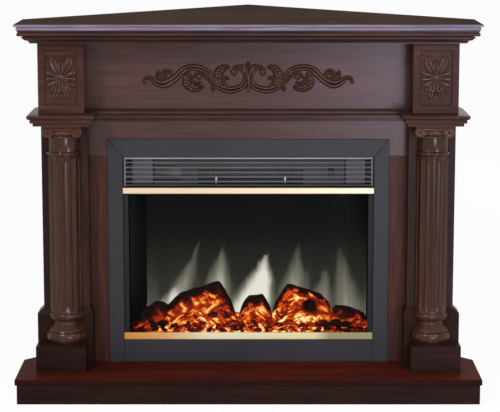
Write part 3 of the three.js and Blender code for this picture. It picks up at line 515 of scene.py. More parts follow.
@dataclass(frozen=True)
class ClearGlass(Finish):
    """Clear toughened front glass with faint smears."""

    def paint(self, tree: Tree) -> None:
        """Lets light straight through, with a Fresnel gloss."""
        smear = tree.noise(tree.place((1.0, 1.0, 0.4)), 7.0, 3.0, 0.6)
        gloss = tree.node("ShaderNodeBsdfGlossy", None, {"Color": (0.9, 0.93, 0.92), "Roughness": 0.03})
        clear = tree.node("ShaderNodeBsdfTransparent", None, {"Color": (0.95, 0.96, 0.95)})
        facing = tree.node("ShaderNodeFresnel", None, {"IOR": 1.22}).value()
        share = (facing * 0.1 + smear.ramp(0.5, 0.9) * 0.001).clamped()
        mixed = tree.node("ShaderNodeMixShader", None, {0: share, 1: clear.out(), 2: gloss.out()})
        tree.show(mixed.out())


@dataclass(frozen=True)
class Tongue:
    """One flame on the screen: foot and tip in metres, half width at the foot and brightness."""

    foot: Flat
    tip: Flat
    half: float
    glow: float


@dataclass(frozen=True)
class FlameScreen(Finish):
    """Smoked screen on which grey-white flames show."""

    floor: float = 0.135
    tongues: tuple[Tongue, ...] = ()

    def paint(self, tree: Tree) -> None:
        """Adds the flames, a haze that fades upwards and faint fluting of the screen."""
        x, _, z = tree.axes()
        drawn = tree.place((1.0, 0.0, 0.45))
        waver = tree.noise(drawn, 21.0, 4.0, 0.6) - 0.5
        ragged = tree.noise(tree.place((1.0, 0.0, 0.3)), 90.0, 3.0, 0.6) - 0.5
        light = (1.0 - (z - self.floor) / 0.29).clamped() ** 1.25 * (0.16 + 0.22 * (waver + 0.5)) + 0.008
        for tongue in self.tongues:
            rise = ((z - tongue.foot[1]) / (tongue.tip[1] - tongue.foot[1])).math("MAXIMUM", 0.0)
            lean = tongue.foot[0] + (tongue.tip[0] - tongue.foot[0]) * rise + waver * 0.075 * rise
            width = tongue.half * 1.15 * (1.0 - rise.math("MINIMUM", 1.0) ** 1.5) + 0.0005
            across = ((x - lean + ragged * 0.01).math("ABSOLUTE")) / width
            body = (1.0 - across).clamped().ramp(0.0, 0.95)
            fade = (1.08 - rise).clamped() ** 0.8
            light = light + body * fade * tongue.glow
        curtain = tree.noise(tree.place((1.0, 0.0, 0.02)), 34.0, 2.0).ramp(0.35, 0.75)
        light = light * (0.75 + 0.35 * curtain)
        colour = tree.colours(light.clamped(), (0.0, linear(6, 6, 5)), (0.12, linear(52, 51, 44)),
                              (0.4, linear(132, 129, 114)), (0.75, linear(222, 218, 202)),
                              (1.0, linear(255, 248, 236)))
        tree.surface(
            Base_Color=linear(10, 10, 11),
            Roughness=0.4 + 0.1 * ragged,
            Specular_IOR_Level=0.02,
            Emission_Color=colour,
            Emission_Strength=0.86,
        )


@dataclass(frozen=True)
class Heat:
    """A patch of glow in millimetres, hotter than its surroundings, or cooler under 0."""

    x: float
    z: float
    half_x: float
    half_z: float
    rise: float


@dataclass(frozen=True)
class Glowing(Finish):
    """Moulded log or ember bed lit from below: charred along its ridge, with glowing streaks."""

    heat: float = 0.5
    cracks: float = 60.0
    patches: tuple[Heat, ...] = ()
    ridge: tuple[Flat, ...] = ()
    crust: float = 0.034

    def _below_ridge(self, x: Value, z: Value) -> Value:
        """Returns how far under the skyline a point lies, in metres."""
        start, end = self.ridge[0][0], self.ridge[-1][0]
        top = max(height for _, height in self.ridge)
        stops = [((at - start) / (end - start), (height / top,) * 3) for at, height in self.ridge]
        along = ((x / MM - start) / (end - start)).clamped()
        line = Value(tree=x.tree, socket=x.tree.colours(along, *stops))
        return line * (top * MM) - z

    @staticmethod
    def _streaks(tree: Tree, tilt: float) -> Value:
        """Returns noise drawn out along a line tilted from level."""
        settings = {"vector_type": "TEXTURE"}
        values = {"Vector": tree.place(), "Rotation": (0.0, tilt, 0.0), "Scale": (3.4, 1.6, 1.0)}
        drawn_out = tree.node("ShaderNodeMapping", settings, values).out()
        return tree.noise(drawn_out, 105.0, 3.0, 0.55, 0.5)

    def paint(self, tree: Tree) -> None:
        """Adds char, patches of heat, slanting bright streaks and fine cracks."""
        x, _, z = tree.axes()
        place = tree.place()
        warp = tree.noise(place, 34.0, 4.0, 0.6)
        heat = self.heat + (warp - 0.5) * 1.1
        for patch in self.patches:
            across = (x - patch.x * MM) / (patch.half_x * MM)
            up = (z - patch.z * MM) / (patch.half_z * MM)
            heat = heat + patch.rise * ((across * across + up * up) * -1.0).math("EXPONENT")
        if self.ridge:
            below = self._below_ridge(x, z) + (warp - 0.5) * 0.05
            heat = heat * below.ramp(self.crust * 0.3, self.crust)
        side = tree.noise(place, 17.0, 2.0).ramp(0.46, 0.54)
        streaks = self._streaks(tree, 0.7) * side + self._streaks(tree, -0.55) * (1.0 - side)
        fine = 1.0 - tree.cells(place, self.cracks * 3.0, edges=True).ramp(0.0, 0.2)
        level = heat.clamped() * (0.16 + 0.95 * streaks.ramp(0.43, 0.66) + 0.2 * fine)
        colour = tree.colours(level.clamped(), (0.0, (0.0, 0.0, 0.0)), (0.1, linear(70, 7, 2)),
                              (0.3, linear(176, 42, 6)), (0.52, linear(240, 112, 22)),
                              (0.76, linear(255, 176, 66)), (0.96, linear(255, 236, 172)))
        bark = tree.noise(tree.place((0.25, 1.0, 1.0)), 260.0, 5.0, 0.7)
        char = tree.colours(bark, (0.3, linear(14, 6, 4)), (0.6, linear(34, 13, 9)),
                            (0.8, linear(66, 28, 18)))
        tree.surface(
            Base_Color=char,
            Roughness=0.7 + 0.25 * bark,
            Specular_IOR_Level=0.08,
            Emission_Color=colour,
            Emission_Strength=1.1,
            Normal=tree.bump(bark + streaks * 0.8, 0.0018, 0.8),
        )


# ---- Mesh tools --------------------------------------------------------------------------------


@dataclass
class Shell:
    """Points in millimetres and the faces between them, for one or more closed forms."""

    points: list[Vector] = field(default_factory=list)
    faces: list[tuple[int, ...]] = field(default_factory=list)

    def add(self, other: "Shell") -> "Shell":
        """Takes in another shell and returns this one."""
        start = len(self.points)
        self.points.extend(other.points)
        self.faces.extend(tuple(index + start for index in face) for face in other.faces)
        return self

    def moved(self, change: Callable[[Vector], Vector]) -> "Shell":
        """Returns a copy with each point changed."""
        return Shell([change(point) for point in self.points], list(self.faces))

    def mirrored(self) -> "Shell":
        """Returns the mirror image across x = 0, with its faces still outward."""
        copy = self.moved(lambda p: Vector((-p.x, p.y, p.z)))
        return Shell(copy.points, [tuple(reversed(face)) for face in copy.faces])

    def turned_out(self) -> "Shell":
        """Returns the shell with its faces outward, found from the volume that they hold."""
        volume = 0.0
        for face in self.faces:
            first = self.points[face[0]]
            for second, third in zip(face[1:], face[2:]):
                volume += first.dot(self.points[second].cross(self.points[third]))
        if volume < 0:
            return Shell(self.points, [tuple(reversed(face)) for face in self.faces])
        return self

    def piece(self, name: str, smooth: float = 35.0) -> bpy.types.Object:
        """Makes a scene object.

        Args:
            name: Name of the piece.
            smooth: Angle in degrees under which edges are shaded smooth.

        Returns:
            The object, at the frame's origin.
        """
        mesh = bpy.data.meshes.new(name)
        mesh.from_pydata([point * MM for point in self.points], [], self.faces)
        mesh.validate()
        mesh.update()
        mesh.shade_smooth()
        mesh.set_sharp_from_angle(angle=math.radians(smooth))
        made = bpy.data.objects.new(name, mesh)
        bpy.context.scene.collection.objects.link(made)
        return made


def skin(rings: Sequence[Sequence[Sequence[float]]]) -> Shell:
    """Makes a closed form through rings of points.

    Args:
        rings: Rings of equal length.

    Returns:
        The form, with both ends filled in.
    """
    size = len(rings[0])
    shell = Shell([Vector(point) for ring in rings for point in ring])
    for row in range(len(rings) - 1):
        for k in range(size):
            a, b = row * size + k, row * size + (k + 1) % size
            shell.faces.append((a, b, b + size, a + size))
    shell.faces.append(tuple(reversed(range(size))))
    shell.faces.append(tuple(range((len(rings) - 1) * size, len(rings) * size)))
    return shell.turned_out()


def moulding(section: Sequence[Flat], stations: Sequence[tuple[Flat, Flat]]) -> Shell:
    """Carries a section [stand-out, z] past stations.

    Args:
        section: Outline of the moulding.
        stations: A point on the wall face and the step that one unit of stand-out makes there.

    Returns:
        The mitred moulding.
    """
    rings = []
    for (at, step), (next_at, next_step) in zip(stations, stations[1:]):
        for k in range(MOULDING_SPANS):
            share = k / MOULDING_SPANS
            x, y, dx, dy = (a + (b - a) * share for a, b in zip((*at, *step), (*next_at, *next_step)))
            rings.append([(x + out * dx, y + out * dy, z) for out, z in section])
    at, step = stations[-1]
    rings.append([(at[0] + out * step[0], at[1] + out * step[1], z) for out, z in section])
    return skin(rings)


def lathe(section: Sequence[Flat], centre: Point, axis: Axis, steps: int = 32) -> Shell:
    """Turns a section [radius, distance] about an axis.

    Args:
        section: Outline from one end to the other; its ends are closed with flat discs.
        centre: Where distance is 0.
        axis: Axis of the turning.
        steps: Points round the axis.

    Returns:
        The turned form.
    """
    rings = []
    for radius, distance in section:
        ring = []
        for k in range(steps):
            a, b = radius * math.cos(TURN * k / steps), radius * math.sin(TURN * k / steps)
            flat = {Axis.X: (distance, a, b), Axis.Y: (a, distance, b), Axis.Z: (a, b, distance)}[axis]
            ring.append([centre[i] + flat[i] for i in range(3)])
        rings.append(ring)
    return skin(rings)


def rounded_box(low: Point, high: Point, ease: float, steps: int = 3) -> Shell:
    """Makes a box with rounded edges.

    Args:
        low: Lowest corner.
        high: Highest corner.
        ease: Radius of its edges.
        steps: Steps round each edge.

    Returns:
        The box.
    """
    middle = [(a + b) / 2 for a, b in zip(low, high)]
    half = [(b - a) / 2 for a, b in zip(low, high)]
    ease = min(ease, min(half) * 0.99)
    corner = [(90.0 / steps) * k for k in range(steps + 1)]
    outline = []
    for quarter, (sx, sz) in enumerate([(1, 1), (-1, 1), (-1, -1), (1, -1)]):
        for degrees in corner:
            angle = math.radians(degrees + 90 * quarter)
            corner_x, corner_z = sx * (half[0] - ease), sz * (half[2] - ease)
            outline.append((corner_x, corner_z, math.cos(angle), math.sin(angle)))
    rings = []
    for front, sign in ((True, -1), (False, 1)):
        angles = corner if front else list(reversed(corner))
        for degrees in angles:
            angle = math.radians(degrees)
            out, depth = ease * math.sin(angle), ease * (1 - math.cos(angle))
            y = middle[1] + sign * (half[1] - depth)
            rings.append([(middle[0] + x + out * c, y, middle[2] + z + out * s)
                          for x, z, c, s in outline])
    return skin(rings)


def spline(knots: Sequence[Sequence[float]], share: float) -> Vector:
    """Returns a point on a smooth curve through knots of any length of numbers up to three."""
    last = len(knots) - 1
    at = clamp(share, 0.0, 1.0) * last
    k = min(int(at), last - 1)
    t = at - k
    p0, p1, p2, p3 = (Vector(knots[min(max(i, 0), last)]) for i in (k - 1, k, k + 1, k + 2))
    return 0.5 * ((2 * p1) + (p2 - p0) * t + (2 * p0 - 5 * p1 + 4 * p2 - p3) * t * t
                  + (3 * p1 - p0 - 3 * p2 + p3) * t * t * t)


class Cut(Enum):
    """How a carved band is cut across."""

    ROUND = "round"
    CHANNEL = "channel"
    LEAF = "leaf"


@dataclass(frozen=True)
class Band:
    """A carved band that lies on a board: knots [x, z, width] along its middle."""

    knots: tuple[Knot, ...]
    cut: Cut = Cut.CHANNEL
    height: float = 7.0
    lobes: int = 0
    steps: int = 34
    across: int = 12
    spread: float = 1.0
    look: float = 0.012

    def _relief(self, share: float, t: float) -> float:
        """Returns the height of the carving at a share of its length and t from -1 to 1 across."""
        dome = math.sqrt(max(0.0, 1 - min(1.0, abs(t)) ** 2.6))
        if self.cut is Cut.ROUND:
            return dome
        if self.cut is Cut.CHANNEL:
            return dome * (1 - 0.5 * math.exp(-((t / 0.3) ** 2)))
        ribs = 0.5 + 0.5 * math.cos(math.pi * (4 * self.lobes * share + 2.4 * abs(t)))
        midrib = math.exp(-((t / 0.14) ** 2))
        spine = math.exp(-((t / 0.38) ** 2))
        return dome * (0.5 + 0.5 * ribs * abs(t) ** 0.5) - 0.25 * midrib + 0.2 * spine

    def _half_width(self, share: float, width: float) -> float:
        """Returns the half width, notched between lobes on a leaf."""
        if self.cut is not Cut.LEAF:
            return self.spread * width / 2
        lobe = abs(math.sin(math.pi * self.lobes * share))
        return self.spread * width / 2 * (0.66 + 0.34 * lobe ** 0.55)

    def outline(self, board: float, margin: float, height: float) -> Shell:
        """Builds a thin dark strip round the band that stands as a painted shadow line.

        Args:
            board: y of the face that it lies on.
            margin: How far it reaches past the band.
            height: Its thickness.

        Returns:
            The closed form.
        """
        wider = tuple((x, z, width * self.spread + 2 * margin) for x, z, width in self.knots)
        flat = Band(wider, Cut.ROUND, height, steps=self.steps, across=4, spread=1.0)
        return flat.shell(board, 0.95)

    def shell(self, board: float, tip: float = 0.35) -> Shell:
        """Builds the band on a board's face.

        Args:
            board: y of the face that it lies on.
            tip: Height at its ends as a share of the height in its middle.

        Returns:
            The closed form.
        """
        rings = []
        for k in range(self.steps + 1):
            share = k / self.steps
            rise = self.height * (tip + (1 - tip) * abs(math.sin(math.pi * share)) ** 0.45)
            row = []
            for j in range(self.across + 1):
                t = -1 + 2 * j / self.across
                sweep = share + (0.09 * abs(t) * (1 - share) if self.cut is Cut.LEAF else 0.0)
                at = spline(self.knots, sweep)
                ahead = (spline(self.knots, min(sweep + self.look, 1.0))
                         - spline(self.knots, max(sweep - self.look, 0.0)))
                normal = Vector((-ahead.y, ahead.x)).normalized()
                half = max(self._half_width(share, at.z), 0.35)
                height = max(0.12, rise * self._relief(share, t))
                row.append((at.x + normal.x * half * t, board - height, at.y + normal.y * half * t))
            back = [(x, board, z) for x, _, z in (row[-1], row[0])]
            rings.append(row + back)
        return skin(rings)


def knob(x: float, z: float, radius: float, board: float, height: float) -> Shell:
    """Makes a carved ball on a board's face.

    Args:
        x: Its middle.
        z: Its middle.
        radius: Its radius.
        board: y of the face that it lies on.
        height: How far it stands out.

    Returns:
        The closed form.
    """
    section = [(radius * math.cos(a), -height * math.sin(a))
               for a in (math.radians(d) for d in (0, 15, 30, 45, 60, 75, 86))]
    return lathe([(radius * 0.999, 0.0), *section], (x, board, z), Axis.Y, 24)


# ---- The frame in millimetres ------------------------------------------------------------------


@dataclass(frozen=True)
class Extent:
    """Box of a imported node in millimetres."""

    low: Vector
    high: Vector

    @classmethod
    def of(cls, node: str) -> "Extent":
        """Returns the box of a node."""
        low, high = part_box(node)
        return cls(low / MM, high / MM)

    @property
    def middle(self) -> Vector:
        """Returns the middle of the box."""
        return (self.low + self.high) / 2

    @property
    def size(self) -> Vector:
        """Returns the size of the box."""
        return self.high - self.low


def settle(piece: bpy.types.Object, finish: Finish, replaced: Iterable[str] = (),
           body: Body = Body.ROOT) -> None:
    """Dresses a new piece, puts it on its body and reports it.

    Args:
        piece: The new piece.
        finish: Its finish.
        replaced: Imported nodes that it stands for.
        body: Body that it rides on.
    """
    piece.data.materials.append(finish.material())
    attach(piece, body.value)
    for node in replaced:
        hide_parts(node)
    LOG.info("built %s: %d faces, %s", piece.name, len(piece.data.polygons), finish.name)


def settle_pair(right: Shell, name: str, smooth: float, finish: Finish, replaced: str) -> None:
    """Makes and settles the right-hand and the left-hand piece of a mirrored pair.

    Args:
        right: Form of the right-hand piece.
        name: Name of the pieces, with {} for the side.
        smooth: Angle in degrees under which edges are shaded smooth.
        finish: Their finish.
        replaced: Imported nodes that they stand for, with {} for the side.
    """
    for side, form in (("right", right), ("left", right.mirrored())):
        settle(form.piece(name.format(side), smooth), finish, [replaced.format(side)])


def dress(node: str, finish: Finish, ease: float = 0.0, steps: int = 2) -> None:
    """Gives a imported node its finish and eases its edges.

    Args:
        node: Name of the node.
        finish: Its finish.
        ease: Width of the rounding of its edges in millimetres, 0 for none.
        steps: Steps round each edge.
    """
    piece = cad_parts[node]
    piece.data.materials.clear()
    piece.data.materials.append(finish.material())
    piece.data.shade_smooth()
    if "custom_normal" in piece.data.attributes:
        piece.data.attributes.remove(piece.data.attributes["custom_normal"])
    if ease:
        weld = piece.modifiers.new("weld", "WELD")
        weld.merge_threshold = 0.00001
        rounding = piece.modifiers.new("eased_edges", "BEVEL")
        rounding.width = ease * MM
        rounding.segments = steps
        rounding.limit_method = "ANGLE"
        rounding.angle_limit = math.radians(30)
        rounding.harden_normals = True
        rounding.use_clamp_overlap = True
    LOG.info("dressed %s: %s", node, finish.name)


def tones(*shades: Colour) -> dict[str, Colour]:
    """Returns a stain's dark, middle and light tones, given as screen colours."""
    return {name: linear(*shade) for name, shade in zip(("dark", "middle", "light"), shades)}


GRAIN_X = Lacquered("mahogany_grain_across", Axis.X)
GRAIN_Y = Lacquered("mahogany_grain_back", Axis.Y)
GRAIN_Z = Lacquered("mahogany_grain_up", Axis.Z, gloss=0.16,
                    **tones((38, 19, 13), (63, 35, 26), (90, 55, 43)))
FRIEZE_WOOD = Lacquered("mahogany_frieze", Axis.X, gloss=0.4, roughness=0.22, relief=0.000015,
                        **tones((37, 20, 16), (60, 36, 31), (86, 56, 49)))
# Darker copy of the frieze stain: painted shade for the cove under the shelf and the recessed architrave,
# with a little painted highlight on ridges.
SHADED_CROWN_WOOD = Lacquered("shaded_mahogany_crown", Axis.X, edge_light=0.08, gloss=0.22, roughness=0.2, relief=0.00002,
                       **tones((30, 16, 13), (50, 31, 27), (74, 49, 43)))
PILASTER_WOOD = Lacquered("mahogany_pilaster", Axis.Z, gloss=0.12,
                          **tones((24, 14, 11), (42, 27, 22), (66, 45, 38)))
# Upright faces of the hearth slab take a darker colour: painted shade on its front edge.
HEARTH_WOOD = Lacquered("mahogany_hearth", Axis.X, gloss=0.03, roughness=0.55, upright=linear(44, 26, 23),
                        **tones((44, 14, 10), (74, 28, 20), (98, 40, 30)))
FOOT_WOOD = Lacquered("mahogany_foot", Axis.X, gloss=0.06,
                      **tones((22, 12, 10), (38, 23, 19), (56, 35, 30)))
# Upright faces of the shelf take a pale purple colour: a painted sheen on the nosing.
SHELF_WOOD = Lacquered("mahogany_shelf", Axis.X, gloss=0.0, roughness=0.7, upright=linear(166, 156, 176),
                       **tones((60, 46, 42), (78, 63, 58), (94, 77, 71)))
TURNED_WOOD = Lacquered("mahogany_turned", Axis.Z, gloss=0.3, roughness=0.12, relief=0.00002,
                        **tones((30, 13, 8), (56, 31, 20), (84, 50, 32)))
# Carved ornament and capitals: painted highlights on ridges and painted shade in hollows.
CARVED_WOOD = Lacquered("carved_mahogany", Axis.X, edge_light=0.45, gloss=0.34, roughness=0.16,
                        **tones((20, 9, 7), (42, 21, 16), (70, 40, 31)))
CAPITAL_WOOD = Lacquered("capital_mahogany", Axis.X, edge_light=0.5, gloss=0.2, roughness=0.2,
                         **tones((16, 8, 6), (32, 18, 14), (54, 34, 27)))
# Near-black finish of the thin sheet round the applique: a painted shadow line where the carving meets the
# frieze.
PAINTED_SHADOW_LINE = Lacquered("painted_shadow_line", Axis.X, gloss=0.2,
                         **tones((12, 5, 4), (18, 8, 7), (30, 14, 12)))
SIDES = (("left", -1), ("right", 1))


# ---- Wooden surround ---------------------------------------------------------------------------


@dataclass
class Surround:
    """Boards, blocks and pedestals of the wooden surround."""

    board_ease: float = 1.2
    block_ease: float = 1.0
    hearth_ease: float = 2.5

    def build(self) -> None:
        """Dresses every board."""
        dress("frieze_panel", FRIEZE_WOOD, self.board_ease)
        dress("plinth_front", FOOT_WOOD, self.board_ease)
        dress("hearth_board", HEARTH_WOOD, self.hearth_ease, 3)
        dress("mantel_shelf", SHELF_WOOD, self.board_ease, 3)
        for side, _ in SIDES:
            dress(f"frieze_block_{side}", GRAIN_X, self.block_ease)
            dress(f"rear_pedestal_{side}", FOOT_WOOD, self.block_ease)
            dress(f"column_pedestal_{side}", FOOT_WOOD, self.board_ease)
            dress(f"plinth_{side}", GRAIN_Y, self.block_ease)
            dress(f"side_panel_{side}", GRAIN_Z, self.block_ease)
            dress(f"face_stile_{side}", GRAIN_Z, self.block_ease)
            dress(f"pilaster_{side}", PILASTER_WOOD, self.block_ease)
            dress(f"back_panel_{side}", PlainBoard("plain_board"), 0.6)
        dress("rear_post", PlainBoard("plain_board"), 0.6)


@dataclass
class Mouldings:
    """Crown under the shelf and architrave round the blocks, with finely stepped curves."""

    soffit: float = 18.0
    soffit_edge: float = 2.2
    cyma_reach: float = 34.0
    cyma_rise: float = 14.0
    cyma_swing: float = 0.13
    fillet_reach: float = 37.0
    fillet_low: float = 15.2
    fillet_high: float = 17.0
    cove_low: float = 17.9
    cove_depth: float = 15.0
    cove_setback: float = 3.0
    bead_drop: float = 0.42
    bead: float = 5.0
    fascia_setback: float = 2.4
    side_foot: float = 14.0
    centre_foot: float = 3.0
    core_cover: float = 2.0
    curve_steps: int = 14
    smooth: float = 25.0

    def __post_init__(self) -> None:
        """Reads the places of the mouldings."""
        self.crown = Extent.of("crown_front")
        self.crown_side = Extent.of("crown_right")
        self.block = Extent.of("frieze_block_right")
        self.side_run = Extent.of("architrave_right")
        self.centre_run = Extent.of("architrave_centre")
        self.face = Extent.of("frieze_panel").low.y

    def _cyma(self, start: Flat, end: Flat) -> list[Flat]:
        """Returns points along an S-shaped curve between two corners."""
        points = []
        for k in range(self.curve_steps + 1):
            share = k / self.curve_steps
            swing = share + self.cyma_swing * math.sin(TURN * share)
            points.append((start[0] + (end[0] - start[0]) * share,
                           start[1] + (end[1] - start[1]) * swing))
        return points

    def _crown_section(self) -> list[Flat]:
        """Returns the section: soffit, cyma, fillet, cove, bead and fascia."""
        bottom, top = self.crown.low.z, self.crown.high.z
        reach = self.block.low.y - self.crown.low.y
        section = [(SKIN_GAP, bottom), (self.soffit, bottom), (self.soffit, bottom + self.soffit_edge)]
        section += self._cyma((self.soffit + 0.4, bottom + self.soffit_edge + 0.3),
                              (self.cyma_reach, bottom + self.cyma_rise))
        section += [
            (self.fillet_reach - 0.4, bottom + self.cyma_rise + 0.6),
            (self.fillet_reach, bottom + self.fillet_low),
            (self.fillet_reach, bottom + self.fillet_high),
            (self.fillet_reach - 0.6, bottom + self.fillet_high + 0.6),
        ]
        low, high = bottom + self.cove_low, top - (top - bottom) * self.bead_drop
        for k in range(self.curve_steps + 1):
            angle = math.radians(90 * k / self.curve_steps)
            section.append((reach - self.cove_setback - self.cove_depth * math.cos(angle),
                            low + (high - low) * math.sin(angle)))
        for degrees in range(-60, 81, 20):
            angle = math.radians(degrees)
            section.append((reach - self.bead + self.bead * math.cos(angle),
                            high + self.bead * (1 + math.sin(angle))))
        fascia = reach - self.fascia_setback
        section += [(fascia, high + 2 * self.bead + 0.6), (fascia, top - 2), (reach, top), (SKIN_GAP, top)]
        return section

    def _architrave_section(self, foot: float) -> list[Flat]:
        """Returns the stepped section, its lowest step standing out by foot, its corners eased."""
        bottom, top = self.side_run.low.z, self.side_run.high.z
        steps = [
            (foot - 0.5, 0.0), (foot, 0.5), (foot, 9.0), (20.4, 9.0), (21.0, 9.6), (21.0, 18.0),
            (24.2, 19.2), (27.0, 21.2), (28.2, 22.2), (28.5, 23.2), (28.5, 28.4), (27.9, 29.2),
            (20.0, 31.0), (12.0, 32.0),
        ]
        risen = [(out, bottom + up) for out, up in steps]
        return [(SKIN_GAP, bottom), *risen, (4.0, top), (SKIN_GAP, top)]

    def _build_crown(self) -> None:
        """Builds the front run and the two side runs of the crown."""
        half, front, rear = self.block.high.x, self.block.low.y, self.crown_side.high.y
        section = self._crown_section()
        ends = [((SKIN_GAP - half, front), (-1, -1)), ((half - SKIN_GAP, front), (1, -1))]
        across = moulding(section, ends).piece("crown_front_profile", self.smooth)
        settle(across, SHADED_CROWN_WOOD, ["crown_front"])
        run = moulding(section, [((half, front + SKIN_GAP), (1, -1)), ((half, rear), (1, -1))])
        settle_pair(run, "crown_{}_profile", self.smooth, GRAIN_Y, "crown_{}")

    def _build_architrave(self) -> None:
        """Builds the centre run and the runs round the blocks."""
        end, outer, front = self.centre_run.high.x, self.block.high.x, self.block.low.y
        section = self._architrave_section(self.centre_foot)
        centre = moulding(section, [((-end, self.face), (1, -1)), ((end, self.face), (-1, -1))])
        # The darker crown stain gives the architrave's recess its painted shade.
        settle(centre.piece("architrave_centre_profile", self.smooth), SHADED_CROWN_WOOD,
               ["architrave_centre"])
        inner, cover = self.block.low.x, self.core_cover
        wrap = moulding(self._architrave_section(self.side_foot), [
            ((inner, self.face - SKIN_GAP), (-1, -1)), ((inner, front), (-1, -1)),
            ((outer, front), (1, -1)), ((outer, self.side_run.high.y), (1, -1)),
        ])
        wrap.add(rounded_box((inner - cover, front - cover, self.side_run.low.z),
                             (outer + cover, self.face - SKIN_GAP - cover, self.side_run.high.z), 0.2, 1))
        settle_pair(wrap, "architrave_{}_profile", self.smooth, GRAIN_X, "architrave_{}")

    def build(self) -> None:
        """Builds every run."""
        self._build_crown()
        self._build_architrave()


@dataclass
class Columns:
    """Fluted half columns with turned bases, a ring and a smooth neck."""

    shaft: float = 43.5
    neck: float = 42.0
    ring: float = 47.5
    ring_drop: float = 43.6
    lower_torus: float = 57.0
    lower_torus_z: float = 18.0
    upper_torus: float = 48.6
    upper_torus_z: float = 75.6
    flare: float = 53.0
    flare_fall: float = 14.5
    flare_low: float = 34.0
    flare_rise: float = 19.0
    scotia_z: float = 59.0
    scotia_depth: float = 1.8
    shaft_low: float = 90.0
    shaft_drop: float = 52.0
    shaft_rows: int = 60
    flute_depth: float = 3.0
    flute_reach: float = 0.41
    flute_pitches: int = 7
    around: int = 252
    finish: Finish = TURNED_WOOD

    def __post_init__(self) -> None:
        """Reads the places of the column and of what stands behind it."""
        self.box = Extent.of("column_right")
        self.pilaster = Extent.of("pilaster_right")
        self.pedestal = Extent.of("rear_pedestal_right")
        self.axis = (self.box.middle.x, self.pilaster.low.y)
        self.flutes = (self.box.low.z + self.shaft_low + 0.5, self.box.high.z - self.shaft_drop - 1)

    def _base(self) -> list[Flat]:
        """Returns the base [radius, height over the foot]: torus, flare, scotia and upper torus."""
        foot = self.lower_torus - 5
        points = [(foot - 0.6, 0.0), (foot, 0.6), (foot, 2.0), (foot - 1, 2.4)]
        points += self._bulge(self.lower_torus_z, 15.2, foot - 3, self.lower_torus, 20)
        for k in range(11):
            share = k / 10
            points.append((self.flare - self.flare_fall * share ** 1.15,
                           self.flare_low + self.flare_rise * share))
        for degrees in range(-80, 81, 20):
            angle = math.radians(degrees)
            points.append((self.flare - self.flare_fall - self.scotia_depth * math.cos(angle),
                           self.scotia_z + 5.4 * math.sin(angle)))
        points += [(self.shaft + 1.4, 65.4), (self.shaft + 1.4, 66.6)]
        points += self._bulge(self.upper_torus_z, 8.4, self.shaft + 0.4, self.upper_torus, 14)
        return [*points, (self.shaft + 0.8, 84.4), (self.shaft + 0.8, 87), (self.shaft, 88.5)]

    def _section(self) -> list[Flat]:
        """Returns the turned outline [radius, z] from the foot to the capital."""
        z, top = self.box.low.z, self.box.high.z
        points = [(radius, z + up) for radius, up in self._base()]
        start, end = z + self.shaft_low, top - self.shaft_drop
        rise = (end - start) / self.shaft_rows
        points += [(self.shaft, start + rise * k) for k in range(self.shaft_rows + 1)]
        points += [(self.shaft + 0.9, end + 1), (self.shaft + 0.9, end + 2.8)]
        points += self._bulge(top - self.ring_drop, 5.4, self.neck + 0.4, self.ring, 12)
        return [*points, (self.neck + 0.8, top - 38), (self.neck, top - 36.5), (self.neck, top)]

    @staticmethod
    def _bulge(z: float, half: float, inner: float, outer: float, steps: int) -> list[Flat]:
        """Returns a half-round stretch of the outline about a height."""
        angles = (math.radians(-90 + 180 * k / steps) for k in range(steps + 1))
        return [(inner + (outer - inner) * math.cos(a), z + half * math.sin(a)) for a in angles]

    def _flute(self, angle: float, z: float) -> float:
        """Returns how deep the flutes cut at an angle from 0 to pi and a height."""
        low, high = self.flutes
        width = math.pi / self.flute_pitches
        share = (angle / width + 0.5) % 1.0 - 0.5
        round_end = width * self.shaft * self.flute_reach
        inside = min(z - low, high - z)
        if inside <= 0 or not width / 2 < angle < math.pi - width / 2:
            return 0.0
        reach = self.flute_reach * math.sqrt(max(0.0, 1 - (1 - min(1.0, inside / round_end)) ** 2))
        if abs(share) >= reach or reach <= 0:
            return 0.0
        return self.flute_depth * math.sqrt(1 - (share / reach) ** 2) * (reach / self.flute_reach)

    def _cut_distance(self, z: float) -> float:
        """Returns how far in front of the axis the column is cut flat at a height."""
        return SKIN_GAP if z > self.pilaster.low.z else self.axis[1] - self.pedestal.low.y + SKIN_GAP

    def shell(self) -> Shell:
        """Builds the right-hand column."""
        rings = []
        for radius, z in self._section():
            cut = self._cut_distance(z)
            start = math.asin(min(0.999, cut / radius))
            ring = []
            for k in range(self.around + 1):
                angle = start + (math.pi - 2 * start) * k / self.around
                depth = self._flute(angle, z) if radius == self.shaft else 0.0
                r = radius - depth
                y = max(cut, r * math.sin(angle))
                ring.append((self.axis[0] + r * math.cos(angle), self.axis[1] - y, z))
            rings.append(ring)
        return skin(rings)

    def build(self) -> None:
        """Builds both columns."""
        settle_pair(self.shell(), "column_{}_turned", 30, self.finish, "column_{}")


